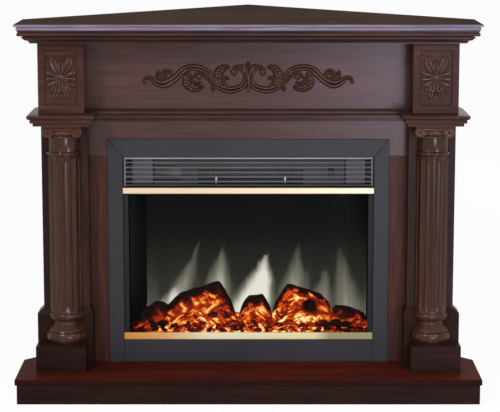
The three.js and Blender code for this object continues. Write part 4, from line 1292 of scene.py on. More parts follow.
@dataclass
class Capitals:
    """Ionic capitals: moulded abacus, spiral volutes, egg-and-dart and bead rows."""

    volute_x: float = 38.3
    volute: float = 16.0
    eye: float = 3.8
    turns: float = 1.8
    spiral_steps: int = 28
    drum: float = 43.4
    eggs: int = 4
    egg_half: float = 5.4
    egg_rise: float = 12.6
    egg_span: float = math.radians(84)
    beads: int = 13
    bead: float = 2.0
    bead_rise: float = 2.2
    finish: Finish = CAPITAL_WOOD

    def __post_init__(self) -> None:
        """Reads the place of the capital."""
        self.box = Extent.of("capital_right")
        self.back = self.box.high.y
        self.front = self.box.low.y + 2
        self.x = self.box.middle.x

    def _volute(self, hand: int) -> Shell:
        """Builds one volute: its round bolster, raised spiral and eye."""
        radius, end = self.volute, self.back - self.front - 2.2
        face = self.front + 2.6
        x, z = self.x + hand * self.volute_x, self.box.low.z + radius + 0.4
        waist = [(1.4, 0.0), (0.6, 1.2), (0.6, 6), (3, 12), (4.5, 22), (4.5, 26), (3, 34), (1, 42),
                 (1, end)]
        section = [(radius - inset, along) for inset, along in waist]
        form = lathe(section, (x, self.front + 2.0, z), Axis.Y, 40)
        knots = []
        for k in range(self.spiral_steps + 1):
            share = k / self.spiral_steps
            angle = math.pi / 2 - hand * share * self.turns * TURN
            r = (radius - 1.3) * (1 - share) ** 0.85 + self.eye * 0.9 * share
            knots.append((x + r * math.cos(angle), z + r * math.sin(angle), 4.0 - 1.6 * share))
        spiral = Band(tuple(knots), Cut.ROUND, 4.2, steps=110, across=6)
        form.add(spiral.shell(face, 0.7))
        form.add(knob(x, z, self.eye, face, 4.4))
        return form

    def _egg(self, angle: float, z: float) -> Shell:
        """Builds one egg of the echinus with its raised shell."""
        form = Shell()
        for size, out, lift in ((1.0, 0.0, 0.0), (0.72, 1.6, 0.5)):
            section = []
            for k in range(9):
                polar = math.radians(8 + 164 * k / 8)
                section.append((self.egg_half * size * math.sin(polar), -6.6 * size * math.cos(polar)))
            egg = lathe(section, (0.0, 0.0, 0.0), Axis.Z, 14)
            reach = self.drum + out
            form.add(egg.moved(lambda p, r=reach, up=lift: Vector((
                self.x + (r + p.y) * math.cos(angle) - p.x * math.sin(angle),
                self.back - (r + p.y) * math.sin(angle) - p.x * math.cos(angle), z + up + p.z))))
        return form.turned_out()

    def _on_drum(self, radius: float, angle: float) -> Flat:
        """Returns x and y at a radius and an angle about the column's axis."""
        return self.x + radius * math.cos(angle), self.back - radius * math.sin(angle)

    def _echinus(self) -> Shell:
        """Builds the rounded drum under the volutes with its eggs, darts and beads."""
        z = self.box.low.z
        section = [(41, 0.0), (43, 0.6), (43.6, 2.2), (43, 3.8), (41.6, 4.4), (42.4, 5), (45.2, 9),
                   (46, 14), (44.5, 19), (40, 20.5)]
        form = skin([[(*self._on_drum(radius, math.pi * k / 40), z + up) for k in range(41)]
                     for radius, up in section])
        for k in range(self.eggs):
            angle = math.pi / 2 + self.egg_span * (k / (self.eggs - 1) - 0.5)
            form.add(self._egg(angle, z + self.egg_rise))
            if k:
                dart = math.pi / 2 + self.egg_span * ((k - 0.5) / (self.eggs - 1) - 0.5)
                x, y = self._on_drum(45.6, dart)
                form.add(rounded_box((x - 0.8, y - 1.4, z + 6.4), (x + 0.8, y + 3, z + 18.5), 0.7, 2))
        section = [(self.bead * math.sin(a), -self.bead * math.cos(a))
                   for a in (math.radians(10 + 160 * j / 6) for j in range(7))]
        for k in range(self.beads):
            x, y = self._on_drum(43, math.pi * (k + 0.5) / self.beads)
            form.add(lathe(section, (x, y, z + self.bead_rise), Axis.Z, 10))
        return form

    def shell(self) -> Shell:
        """Builds the right-hand capital."""
        low, high = self.box.low, self.box.high
        left, right = self.x - self.volute_x, self.x + self.volute_x
        form = Shell()
        for inset, z0, z1 in ((0.0, high.z - 2.6, high.z), (1.6, high.z - 6.0, high.z - 2.6)):
            form.add(rounded_box((low.x + inset, low.y + inset, z0),
                                 (high.x - inset, self.back, z1), 0.8, 2))
        form.add(rounded_box((left, self.front + 2.2, high.z - 13.4),
                             (right, self.back, high.z - 5.6), 1.2, 2))
        for drop in (12.6, 6.9):
            z = high.z - drop
            rim = Band(((left + 1, z, 2.0), (self.x, z - 0.6, 2.0), (right - 1, z, 2.0)), Cut.ROUND, 2.0,
                       steps=20, across=6)
            form.add(rim.shell(self.front + 2.3, 0.9))
        form.add(self._echinus())
        for _, hand in SIDES:
            form.add(self._volute(hand))
        return form.moved(lambda p: Vector((p.x, min(p.y, self.back), p.z)))

    def build(self) -> None:
        """Builds both capitals."""
        settle_pair(self.shell(), "capital_{}_carved", 40, self.finish, "capital_{}")


# ---- Carved ornament ---------------------------------------------------------------------------


@dataclass
class Carving:
    """Acanthus rosettes in the sunk panels and the scroll applique on the frieze."""

    finish: Finish = CARVED_WOOD
    spread: float = 1.18
    # Reach and thickness of the dark sheet round the applique, a painted shadow line.
    shadow_margin: float = 2.4
    shadow_thickness: float = 0.9
    pearls: int = 10
    pearl_ring: float = 11.2
    balls: tuple[Knot, ...] = ((-39, 871, 8.0), (-132, 859, 6.5), (-216, 861, 6.5), (-279, 846, 4.0))

    def __post_init__(self) -> None:
        """Reads the places of the carvings."""
        self.rosette = Extent.of("rosette_right")
        self.overlay = Extent.of("carved_overlay")

    def _rosette(self) -> Shell:
        """Builds the right-hand rosette."""
        x0, z0 = self.rosette.middle.x, self.rosette.middle.z
        back = self.rosette.high.y
        half_x, half_z = self.rosette.size.x / 2, self.rosette.size.z / 2
        form = Shell()

        def at(points: Sequence[Knot], hand: int = 1) -> tuple[Knot, ...]:
            """Returns knots given as shares of the half size, on one side."""
            return tuple((x0 + hand * u * half_x, z0 + v * half_z, w) for u, v, w in points)

        for _, hand in SIDES:
            upper = at([(0.16, 0.18, 8), (0.42, 0.46, 22), (0.58, 0.72, 25), (0.62, 0.99, 7)], hand)
            form.add(Band(upper, Cut.CHANNEL, 6.6, steps=40, across=16).shell(back))
            for u, v, width in ((0.97, 0.24, 11), (0.99, -0.06, 11), (0.88, -0.34, 11)):
                curl = at([(0.24, v * 0.3, 7), (0.6 * u, v * 0.66, width), (u, v, width),
                           (u * 0.86, v + 0.09, 4)], hand)
                form.add(Band(curl, Cut.ROUND, 5.8, steps=34, across=10).shell(back))
            for u, v, width in ((0.74, -0.68, 13), (0.46, -0.98, 15)):
                finger = at([(0.08 + 0.14 * u, -0.16, 8), (0.62 * u, 0.56 * v, width),
                             (0.9 * u, 0.86 * v, width), (u, v, 4)], hand)
                form.add(Band(finger, Cut.LEAF, 6.4, lobes=2, steps=44, across=14).shell(back))
        crest = at([(0.0, 0.16, 10), (0.0, 0.38, 23), (0.0, 0.58, 21), (0.0, 0.86, 2.5)])
        form.add(Band(crest, Cut.CHANNEL, 7.2, steps=40, across=18).shell(back))
        fall = at([(0.0, -0.16, 10), (0.0, -0.44, 19), (0.0, -0.76, 4)])
        form.add(Band(fall, Cut.CHANNEL, 6.4, steps=34, across=16).shell(back))
        form.add(knob(x0, z0, 12.6, back, 5.8))
        form.add(knob(x0, z0, 9.0, back - 4.0, 3.6))
        for k in range(self.pearls):
            angle = TURN * (k + 0.5) / self.pearls
            x, z = x0 + self.pearl_ring * math.cos(angle), z0 + self.pearl_ring * math.sin(angle)
            form.add(knob(x, z, 2.3, back - 3.6, 2.0))
        return form

    def _scrolls(self) -> list[Band]:
        """Returns the bands of the left half of the applique."""
        return [
            Band(((-43, 879, 4), (-34, 884, 7), (-21, 883, 9), (-11, 872, 10), (-6, 858, 10),
                  (-9, 842, 11), (-19, 831, 12), (-34, 825, 13), (-50, 823, 14), (-66, 826, 13),
                  (-79, 831, 11), (-89, 833, 8), (-96, 828, 6), (-94, 819, 3)),
                 Cut.CHANNEL, 7.4, steps=90),
            Band(((-52, 851, 3), (-60, 857, 5), (-68, 850, 7), (-68, 840, 8), (-58, 831, 7)),
                 Cut.CHANNEL, 6.6, steps=50),
            Band(((-71, 833, 8), (-80, 847, 17), (-81, 864, 20), (-74, 877, 18), (-62, 884, 11),
                  (-50, 885, 3)),
                 Cut.LEAF, 7.6, lobes=4, steps=60, across=20),
            Band(((-81, 833, 7), (-96, 855, 9), (-112, 873, 11), (-133, 882, 12), (-153, 884, 12),
                  (-174, 877, 13), (-191, 861, 14), (-207, 848, 15), (-228, 839, 17), (-244, 842, 14),
                  (-257, 851, 10), (-267, 856, 7), (-276, 854, 6), (-280, 847, 4)),
                 Cut.CHANNEL, 7.8, steps=100),
            Band(((-94, 838, 5), (-106, 851, 7), (-118, 863, 8), (-131, 869, 8), (-141, 864, 7),
                  (-139, 855, 5)),
                 Cut.CHANNEL, 6.4, steps=44),
            Band(((-158, 871, 7), (-168, 852, 14), (-163, 836, 17), (-148, 828, 16), (-133, 828, 11),
                  (-120, 834, 2)), Cut.LEAF, 7.4, lobes=5, steps=60, across=18),
            Band(((-150, 862, 4), (-154, 849, 7), (-146, 841, 8), (-134, 841, 6), (-127, 845, 3)),
                 Cut.CHANNEL, 6.8, steps=36),
            Band(((-206, 850, 5), (-229, 851, 7), (-232, 864, 8), (-222, 873, 8), (-211, 871, 7),
                  (-206, 862, 5)),
                 Cut.CHANNEL, 6.6, steps=46),
            Band(((-234, 850, 7), (-240, 860, 11), (-243, 867, 9), (-245, 875, 2.5)),
                 Cut.LEAF, 6.0, lobes=3, steps=34, across=14),
            Band(((-9, 833, 4), (-4, 846, 4), (-4, 864, 4), (-9, 880, 5), (-17, 888, 4)),
                 Cut.ROUND, 7.2, steps=40, across=8),
        ]

    def _finial(self) -> list[Band]:
        """Returns the bands of the fleur in the middle of the applique."""
        petals = [Band(((hand * 2, 864, 5), (hand * 9, 876, 10), (hand * 15, 886, 9), (hand * 21, 890, 3)),
                       Cut.CHANNEL, 6.6, steps=28, across=8) for _, hand in SIDES]
        return [
            Band(((0, 824, 9), (0, 836, 6), (0, 850, 5), (0, 866, 8)), Cut.ROUND, 7.2, steps=30, across=8),
            Band(((0, 864, 7), (0, 875, 12), (0, 887, 13), (0, 899, 2)), Cut.LEAF, 7.9, lobes=3, steps=34,
                 across=14),
            *petals,
        ]

    def _applique(self) -> None:
        """Builds the scrolls and the thin dark sheet round them, a painted shadow line."""
        back = self.overlay.high.y
        # edges gathers the painted shadow line round each band and ball.
        carved, edges = Shell(), Shell()
        for drawn in self._scrolls():
            band = replace(drawn, spread=self.spread)
            carved.add(band.shell(back))
            edges.add(band.outline(back, self.shadow_margin, self.shadow_thickness))
        for x, z, radius in self.balls:
            carved.add(knob(x, z, radius, back, radius * 0.86))
            edges.add(knob(x, z, radius + self.shadow_margin, back, self.shadow_thickness))
        whole = Shell().add(carved).add(carved.mirrored())
        shadow_sheet = Shell().add(edges).add(edges.mirrored())
        for band in self._finial():
            whole.add(band.shell(back))
            shadow_sheet.add(band.outline(back, self.shadow_margin, self.shadow_thickness))
        whole.add(knob(0, 822, 6.0, back, 6.6))
        settle(whole.piece("frieze_scrolls", 50), self.finish, ["carved_overlay"])
        settle(shadow_sheet.piece("frieze_scroll_edging", 50), PAINTED_SHADOW_LINE)

    def build(self) -> None:
        """Builds both rosettes and the applique."""
        settle_pair(self._rosette(), "rosette_{}_carved", 50, self.finish, "rosette_{}")
        self._applique()


# ---- Electric fire -----------------------------------------------------------------------------


@dataclass
class FireFront:
    """Trim, brass strips, glass, louvred flap, control plate and switch."""

    trim_finish: Finish = Coated("charcoal_powder_coat")
    hole_rows: int = 4
    hole_columns: int = 40
    hole_share: float = 0.66
    slot_half: float = 0.2
    outlet: tuple[float, float, float, float] = (-137.6, 149.9, 557.4, 605.8)
    plate_depth: float = 12.0
    plate_thickness: float = 2.0
    bars: int = 5
    bar_pitch: float = 13.2
    bar_height: float = 2.1
    flap_clearance: float = 1.9
    pivot_radius: float = 2.5
    pivot_rise: float = 3.0
    switch_half_x: float = 8.0
    switch_half_z: float = 11.0
    switch_depth: float = 12.0
    switch_wall: float = 1.6
    bracket_spans: tuple[Flat, ...] = ((-317.0, -261.0), (265.0, 318.0))
    bracket_ribs: int = 5
    rib_pitch: float = 15.0
    clip_places: Flat = (-88.0, 100.0)
    slats: tuple[Flat, ...] = ((573.7, -181.0), (611.6, -199.0))
    end_blocks: Flat = (-324.0, 323.5)
    upright_slats: Flat = (-258.5, 262.5)

    def __post_init__(self) -> None:
        """Reads the places of the flap, plate and switch."""
        self.flap = Extent.of("grille_flap")
        self.plate = Extent.of("control_panel")
        self.switch = Extent.of("power_switch")
        self.face = self.plate.high.y - self.plate_depth

    def _flap(self) -> None:
        """Builds the louvred flap with rounded bars between its two rails."""
        low, high = self.flap.low, self.flap.high
        inner = high.x - self.flap_clearance
        end, y0, y1 = inner - 1, low.y, high.y
        form = Shell()
        for _, hand in SIDES:
            x = sorted((hand * (inner - 4), hand * inner))
            form.add(rounded_box((x[0], y0 + 0.6, low.z), (x[1], y1 - 0.6, high.z), 0.7, 2))
        for k in range(1, self.bars + 1):
            z = high.z - k * self.bar_pitch
            form.add(rounded_box((-end, y0 + 0.8, z - self.bar_height), (end, y1, z), 0.9, 4))
        bars = Coated("louvre_grey_coat", colour=linear(112, 111, 110), roughness=0.4)
        settle(form.piece("louvred_flap", 40), bars, ["grille_flap"], Body.FLAP)
        rail = rounded_box((-end, y0, high.z - 3.6), (end, y1, high.z), 1.2, 4)
        rail.add(rounded_box((-end, y0 + 1.5, high.z - 4.6), (end, y1 - 1.5, high.z - 3.2), 0.5, 2))
        bright = Coated("louvre_pale_coat", colour=linear(172, 171, 169), roughness=0.36)
        settle(rail.piece("flap_top_rail", 40), bright, body=Body.FLAP)
        foot = rounded_box((-end, y0 + 1, low.z + 0.2), (end, y1, low.z + 3.4), 1.2, 4)
        rod = [(self.pivot_radius, low.x), (self.pivot_radius, high.x)]
        foot.add(lathe(rod, (0.0, (y0 + y1) / 2, low.z + self.pivot_rise), Axis.X, 20))
        settle(foot.piece("flap_hinge_rail", 40), self.trim_finish, body=Body.FLAP)

    def _control_plate(self) -> None:
        """Builds the plate with its pierced outlet, foot and the switch's opening."""
        low, high, face = self.plate.low, self.plate.high, self.face
        x0, x1, z0, z1 = self.outlet
        pitch_x, pitch_z = (x1 - x0) / self.hole_columns, (z1 - z0) / self.hole_rows
        half_x, half_z = pitch_x * self.hole_share / 2, pitch_z * self.slot_half
        openings = []
        for row in range(self.hole_rows):
            for k in range(self.hole_columns):
                x, z = x0 + (k + 0.5) * pitch_x, z0 + (row + 0.5) * pitch_z
                openings.append((x - half_x, x + half_x, z - half_z, z + half_z))
        middle = self.switch.middle
        openings.append((middle.x - self.switch_half_x, middle.x + self.switch_half_x,
                         middle.z - self.switch_half_z, middle.z + self.switch_half_z))
        depth = (face, face + self.plate_thickness)
        form = pierced_plate((low.x, high.x), (low.z, high.z), depth, openings)
        form.add(rounded_box((low.x, low.y, low.z), (high.x, face + 1, low.z + 2), 0.5, 2))
        form.add(self._switch_box())
        plate = Coated("control_plate_coat", colour=linear(74, 72, 72), roughness=0.5)
        settle(form.piece("pierced_control_plate", 30), plate, ["control_panel"])

    def _switch_box(self) -> Shell:
        """Builds the four walls and back of the switch's box behind the plate."""
        x, z, wall = self.switch.middle.x, self.switch.middle.z, self.switch_wall
        half_x, half_z = self.switch_half_x, self.switch_half_z
        front, rear = self.face + 0.2, self.face + self.switch_depth
        outer_x, outer_z = half_x + wall, half_z + wall
        form = Shell()
        for _, hand in SIDES:
            side = sorted((x + hand * half_x, x + hand * outer_x))
            form.add(rounded_box((side[0], front, z - outer_z), (side[1], rear, z + outer_z), 0.3, 1))
            level = sorted((z + hand * half_z, z + hand * outer_z))
            form.add(rounded_box((x - half_x - 0.2, front, level[0]),
                                 (x + half_x + 0.2, rear, level[1]), 0.3, 1))
        form.add(rounded_box((x - outer_x, rear - wall, z - outer_z),
                             (x + outer_x, rear, z + outer_z), 0.3, 1))
        return form

    def _fittings(self) -> None:
        """Builds the side brackets and the bare legend plate on the control plate."""
        face = self.face
        low, high = self.plate.low.z + 4, self.plate.high.z - 3
        form = Shell()
        for x0, x1 in self.bracket_spans:
            form.add(rounded_box((x0, face - 7.0, low), (x1, face + 0.5, high), 1.4, 3))
            for k in range(self.bracket_ribs):
                z = low + 9 + k * self.rib_pitch
                form.add(rounded_box((x0 + 3, face - 8.2, z), (x1 - 3, face - 6.5, z + 3.0), 0.6, 2))
        brackets = Coated("bracket_coat", colour=linear(104, 99, 104), roughness=0.5)
        settle(form.piece("flap_catch_brackets", 35), brackets)
        plate = rounded_box((-254, face - 1.4, 578), (-180, face + 0.3, 607), 1.0, 2)
        plate.add(rounded_box((-252, face - 1.9, 580), (-182, face - 0.9, 605), 0.4, 2))
        legend = Coated("bare_legend_plate", colour=linear(72, 70, 62), roughness=0.35)
        settle(plate.piece("legend_plate", 35), legend)

    def _clips(self) -> None:
        """Builds the bright clips that stand in front of the outlet and the slats beside it."""
        face = self.face
        clips = Shell()
        for x in self.clip_places:
            clips.add(rounded_box((x - 3.2, face - 5, 563), (x + 3.2, face + 0.4, 585), 1.4, 3))
            clips.add(rounded_box((x - 1.6, face - 6.4, 572), (x + 1.6, face - 4, 576), 0.7, 2))
        settle(clips.piece("outlet_clips", 35), BrightMetal("clip_steel", brushing=Axis.Z))
        slats = Shell()
        for z, end in self.slats:
            slats.add(rounded_box((-256, face - 3, z - 1.6), (end, face + 0.4, z + 1.6), 0.8, 2))
        for x in self.end_blocks:
            for z in (571.0, 596.0, 621.0):
                slats.add(rounded_box((x - 5, face - 5, z - 7), (x + 5, face + 0.4, z + 7), 1.2, 3))
        for x in self.upright_slats:
            slats.add(rounded_box((x - 1, face - 3, 562), (x + 1, face + 0.4, 634), 0.6, 2))
        ledge = Coated("ledge_coat", colour=linear(24, 23, 24))
        settle(slats.piece("legend_ledges", 35), ledge)

    def build(self) -> None:
        """Dresses the trim, strips, glass and case, and builds the finer pieces."""
        for side in ("top", "left", "right", "bottom"):
            dress(f"trim_{side}", self.trim_finish, 1.0)
        dress("brass_strip_top", PaleBrass("pale_brass"), 0.5)
        dress("brass_strip_bottom", PaleBrass("pale_brass_with_casts", 1.0), 0.5)
        dress("front_glass", ClearGlass("clear_glass"))
        case = Coated("case_black", colour=linear(20, 20, 20), roughness=0.6)
        for node in ("case_left", "case_right", "case_floor", "case_top", "case_back", "blower_housing"):
            dress(node, case, 0.3, 1)
        plastic = Moulded("black_plastic")
        dress("cord_gland", plastic, 0.6)
        dress("power_switch", plastic, 0.5)
        dress("blower_wheel", BrightMetal("fan_aluminium"))
        dress("heating_element", Moulded("heater_ceramic", colour=linear(206, 200, 188), roughness=0.6))
        self._flap()
        self._control_plate()
        self._fittings()
        self._clips()


def pierced_plate(span_x: Flat, span_z: Flat, span_y: Flat,
                  openings: Sequence[tuple[float, float, float, float]]) -> Shell:
    """Makes a plate with rectangular openings right through it.

    Args:
        span_x: Left and right edges.
        span_z: Lower and upper edges.
        span_y: Front and rear faces.
        openings: Each opening as left, right, low and high.

    Returns:
        The plate, with its front, back, outer edges and the walls of each opening.
    """
    xs = sorted({*span_x, *(o[0] for o in openings), *(o[1] for o in openings)})
    zs = sorted({*span_z, *(o[2] for o in openings), *(o[3] for o in openings)})
    columns, rows = len(xs), len(zs)

    def open_at(i: int, j: int) -> bool:
        """Returns whether the cell is outside the plate or in an opening."""
        if not (0 <= i < columns - 1 and 0 <= j < rows - 1):
            return True
        cx, cz = (xs[i] + xs[i + 1]) / 2, (zs[j] + zs[j + 1]) / 2
        return any(o[0] < cx < o[1] and o[2] < cz < o[3] for o in openings)

    shell = Shell([Vector((x, y, z)) for y in span_y for z in zs for x in xs])
    layer = columns * rows
    state = {(i, j): open_at(i, j) for i in range(-1, columns) for j in range(-1, rows)}
    for i in range(columns - 1):
        for j in range(rows - 1):
            if state[i, j]:
                continue
            a, b = j * columns + i, j * columns + i + 1
            c, d = a + columns, b + columns
            shell.faces.append((a, b, d, c))
            shell.faces.append((a + layer, c + layer, d + layer, b + layer))
            if state[i - 1, j]:
                shell.faces.append((a, c, c + layer, a + layer))
            if state[i + 1, j]:
                shell.faces.append((b, b + layer, d + layer, d))
            if state[i, j - 1]:
                shell.faces.append((a, a + layer, b + layer, b))
            if state[i, j + 1]:
                shell.faces.append((c, d, d + layer, c + layer))
    used = sorted({index for face in shell.faces for index in face})
    order = {old: new for new, old in enumerate(used)}
    faces = [tuple(order[k] for k in face) for face in shell.faces]
    return Shell([shell.points[k] for k in used], faces)


@dataclass(frozen=True)
class SplitLog:
    """A split log lying across the embers, given by the skyline [x, z] of its ridge."""

    skyline: tuple[Flat, ...]
    middle: float
    depth: float
    foot: float
    seed: float
    knot: tuple[float, float, float] = (0.0, 0.0, 0.0)
    furrows: tuple[Flat, ...] = ((5.5, 1.0), (2.6, 2.7), (1.1, 7.0))

    def _ridge(self, x: float) -> float:
        """Returns the height of the skyline at x."""
        for (x0, z0), (x1, z1) in zip(self.skyline, self.skyline[1:]):
            if x <= x1:
                return z0 + (z1 - z0) * (x - x0) / (x1 - x0)
        return self.skyline[-1][1]

    def _knot_relief(self, x: float, z: float) -> float:
        """Returns how far the front stands out at a knot: a rim round a hollow."""
        knot_x, knot_z, radius = self.knot
        if not radius:
            return 0.0
        away = math.hypot(x - knot_x, z - knot_z) / radius
        return 4.5 * math.exp(-(((away - 1.05) / 0.28) ** 2)) - 13.0 * math.exp(-((away / 0.75) ** 4))

    def shell(self, along: int = 110, around: int = 64) -> Shell:
        """Builds the log with flat split faces, bark furrows and ragged ends."""
        x0, x1 = self.skyline[0][0], self.skyline[-1][0]
        rings = []
        for k in range(along + 1):
            share = k / along
            x = x0 + (x1 - x0) * share
            ends = min(1.0, min(share, 1 - share) * 16) ** 0.5
            top = self._ridge(x)
            tall = (top - self.foot) * (0.55 + 0.45 * ends)
            deep = self.depth * (0.5 + 0.5 * ends)
            ring = []
            for j in range(around):
                angle = TURN * j / around
                c, d = math.cos(angle), math.sin(angle)
                wedge = (1 - max(0.0, d)) ** 0.8 if d > 0 else 1.0
                y = self.middle + deep * math.copysign(abs(c) ** 0.7, c) * (0.2 + 0.8 * wedge)
                z = self.foot + tall * (0.5 + 0.5 * math.copysign(abs(d) ** 0.9, d))
                spot = Vector((x / 30, y / 17, z / 15 + self.seed))
                rough = sum(size * noise.noise(spot * scale) for size, scale in self.furrows)
                grow = 0.0 if d > 0.92 else rough
                front = self._knot_relief(x, z) if c < 0 else 0.0
                lift = 0.35 * rough if d > 0 else 0.0
                ring.append((x, y + math.copysign(1.0, c) * grow - front, z + lift))
            rings.append(ring)
        return skin(rings)


@dataclass
class FireBed:
    """Ember bed, logs, flame screen and the parts behind it."""

    mound_depth: float = 82.0
    mound_columns: int = 220
    mound_rows: int = 34
    coal_rows: int = 4
    coal_step: float = 32.0
    coal_row_step: float = 15.0
    wing_reach: float = 331.0
    wing_flange: float = 14.0
    chunks: tuple[Knot, ...] = (
        (-262, 168, 10), (-238, 173, 12), (-205, 166, 8), (-166, 168, 8), (-147, 192, 9), (-128, 172, 8),
        (-98, 196, 12), (-60, 196, 13), (-45, 170, 13), (-20, 168, 12), (18, 176, 9), (60, 172, 12),
        (84, 190, 8), (110, 174, 12), (150, 168, 8), (204, 172, 13), (240, 174, 14), (268, 170, 12),
    )

    def __post_init__(self) -> None:
        """Reads the places of the logs, bed and screen."""
        self.bed = Extent.of("ember_bed")
        self.left = Extent.of("log_left")
        self.right = Extent.of("log_right")
        self.screen = Extent.of("flame_screen")
        self.floor = Extent.of("case_floor").high.z
        self.ground = self.floor + 0.3

    def _mound_height(self, x: float, y: float) -> float:
        """Returns the height of the embers over the case floor."""
        back = (y - self.bed.low.y) / self.mound_depth
        ends = min(1.0, max(0.0, self.bed.high.x - abs(x)) / 70) ** 0.6
        lumps = (5.5 * noise.noise(Vector((x / 17, y / 13, 3.1)))
                 + 3.0 * noise.noise(Vector((x / 7, y / 6, 8.0))))
        return 3 + (11 + 37 * clamp(back, 0.0, 1.0)) * (0.35 + 0.65 * ends) + lumps

    def _mound(self) -> Shell:
        """Builds the mound that the coals and logs lie on."""
        low, width = self.bed.low, self.bed.high.x - self.bed.low.x
        columns, rows = self.mound_columns, self.mound_rows
        shell = Shell()
        for layer in (1, 0):
            for j in range(rows + 1):
                for i in range(columns + 1):
                    x, y = low.x + width * i / columns, low.y + self.mound_depth * j / rows
                    z = self.ground + (max(2.0, self._mound_height(x, y)) if layer else 0.0)
                    shell.points.append(Vector((x, y, z)))
        wide, layer_size = columns + 1, (columns + 1) * (rows + 1)

        def wall(a: int, b: int, flip: bool) -> tuple[int, ...]:
            """Returns the face that joins two points of the top to the two under them."""
            face = (a, b, b + layer_size, a + layer_size)
            return face[::-1] if flip else face

        for j in range(rows):
            for i in range(columns):
                a, b = j * wide + i, j * wide + i + 1
                c, d = a + wide, b + wide
                shell.faces.append((a, b, d, c))
                shell.faces.append((a + layer_size, c + layer_size, d + layer_size, b + layer_size))
        for j in range(rows):
            for i, flip in ((0, False), (columns, True)):
                shell.faces.append(wall(j * wide + i, (j + 1) * wide + i, flip))
        for i in range(columns):
            for j, flip in ((0, True), (rows, False)):
                shell.faces.append(wall(j * wide + i, j * wide + i + 1, flip))
        return shell.turned_out()

    def _coal(self, x: float, y: float, size: float, seed: float, z: float | None = None) -> Shell:
        """Builds one rough chunk of coal or stick, on the mound unless its height is given."""
        if z is None:
            z = self.ground + self._mound_height(x, y)
        tilt = Euler((noise.noise(Vector((seed, 1, 0))) * 0.9, noise.noise(Vector((seed, 5, 0))) * 1.6,
                      noise.noise(Vector((seed, 9, 0))) * 3.0)).to_matrix()
        longer = 1.3 + 1.3 * abs(noise.noise(Vector((seed, 13, 0))))
        rings = []
        for k in range(1, 8):
            polar = math.pi * k / 8
            ring = []
            for j in range(10):
                angle = TURN * j / 10
                p = Vector((math.cos(polar) * longer, math.sin(polar) * math.cos(angle) * 0.8,
                            math.sin(polar) * math.sin(angle) * 0.75))
                rough = 1 + 0.34 * noise.noise(p * 1.7 + Vector((seed, 0, 0)))
                ring.append(tuple(Vector((x, y, z)) + tilt @ (p * size * rough)))
            rings.append(ring)
        return skin(rings)

    def _embers(self) -> None:
        """Builds the bed: mound, coals and the log in its middle."""
        low, high = self.bed.low, self.bed.high

        def held(p: Vector) -> Vector:
            """Returns the point, kept inside the bed's own box."""
            return Vector((clamp(p.x, low.x, high.x), clamp(p.y, low.y, high.y),
                           max(p.z, self.ground)))

        glow = tuple(Heat(x, 160.0, half, 60.0, rise) for x, half, rise in (
            (-325, 75, -0.9), (325, 90, -0.9), (-140, 60, 0.3), (-10, 40, 0.25), (100, 60, 0.3)))
        finish = Glowing("lit_embers", heat=1.0, patches=glow)
        settle(self._mound().moved(held).piece("lit_ember_bed", 60), finish, ["ember_bed"])
        coals = Shell()
        count = int((self.bed.size.x - 30) / self.coal_step)
        for row in range(self.coal_rows):
            for k in range(count):
                seed = 7.3 * row + 1.7 * k
                x = low.x + 15 + (k + 0.5 + 0.9 * noise.noise(Vector((seed, 2, 2)))) * self.coal_step
                y = low.y + 10 + row * self.coal_row_step + 7 * noise.noise(Vector((seed, 6, 6)))
                size = 8.5 + 6.0 * noise.noise(Vector((seed, 3, 9)))
                coals.add(self._coal(x, y, max(4.0, size), seed))
        for k, (x, z, size) in enumerate(self.chunks):
            coals.add(self._coal(x, self.left.low.y + 4, size, 3.1 * k + 0.4, z))
        settle(coals.moved(held).piece("charred_coals", 60),
               Glowing("lit_coals", heat=0.26, patches=glow[:2]))
        skyline = ((-26, 196), (-12, 226), (2, 243), (40, 247), (50, 230), (66, 200))
        log = SplitLog(skyline, self.left.middle.y + 2, 30.0, self.floor + 30, 1.0).shell(60, 64)
        finish = Glowing("lit_log_centre", heat=0.45, ridge=skyline,
                         patches=(Heat(46, 232, 12, 16, 0.8), Heat(20, 200, 34, 16, 0.4)))
        settle(log.moved(held).piece("charred_log_centre", 60), finish)

    def _logs(self) -> None:
        """Builds the two groups of logs."""
        y = self.left.middle.y
        foot = self.floor + 24
        big = ((-240, 192), (-226, 214), (-190, 250), (-140, 266), (-84, 284), (-74, 276),
               (-54, 240), (-34, 204))
        small = ((-318, 176), (-296, 198), (-258, 226), (-232, 222), (-206, 200))
        left = [SplitLog(big, y, 32.0, foot, 2.0), SplitLog(small, y + 4, 24.0, foot - 8, 4.0)]
        finish = Glowing("lit_logs_left", heat=0.5, crust=0.04, ridge=(*small[:3], *big[1:]), patches=(
            Heat(-140, 216, 60, 26, 0.4), Heat(-285, 196, 44, 30, -0.6), Heat(-70, 240, 14, 30, -0.3),
            Heat(-120, 176, 90, 16, 0.5)))
        self._log_group("left", left, self.left, finish)
        big = ((64, 206), (84, 240), (106, 274), (118, 275), (160, 262), (200, 247), (222, 226),
               (236, 200))
        small = ((226, 196), (242, 214), (278, 211), (310, 198), (330, 184))
        right = [SplitLog(big, y, 32.0, foot, 3.0, (170.0, 219.0, 21.0)),
                 SplitLog(small, y + 4, 24.0, foot - 8, 5.0)]
        finish = Glowing("lit_logs_right", heat=0.62, crust=0.022, ridge=(*big[:7], *small[1:]), patches=(
            Heat(170, 219, 17, 17, -1.6), Heat(190, 245, 60, 16, 0.3), Heat(285, 200, 44, 26, -0.6),
            Heat(92, 250, 16, 30, -0.4), Heat(130, 180, 80, 18, 0.45)))
        self._log_group("right", right, self.right, finish)

    def _log_group(self, side: str, logs: Sequence[SplitLog], extent: Extent, finish: Finish) -> None:
        """Builds one group of logs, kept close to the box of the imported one."""
        form = Shell()
        for log in logs:
            form.add(log.shell())
        low, high = extent.low, extent.high
        form = form.moved(lambda p: Vector((clamp(p.x, low.x - 20, high.x + 20),
                                            clamp(p.y, low.y - 2, high.y + 2),
                                            max(p.z, self.floor + 1))))
        settle(form.piece(f"charred_logs_{side}", 60), finish, [f"log_{side}"])

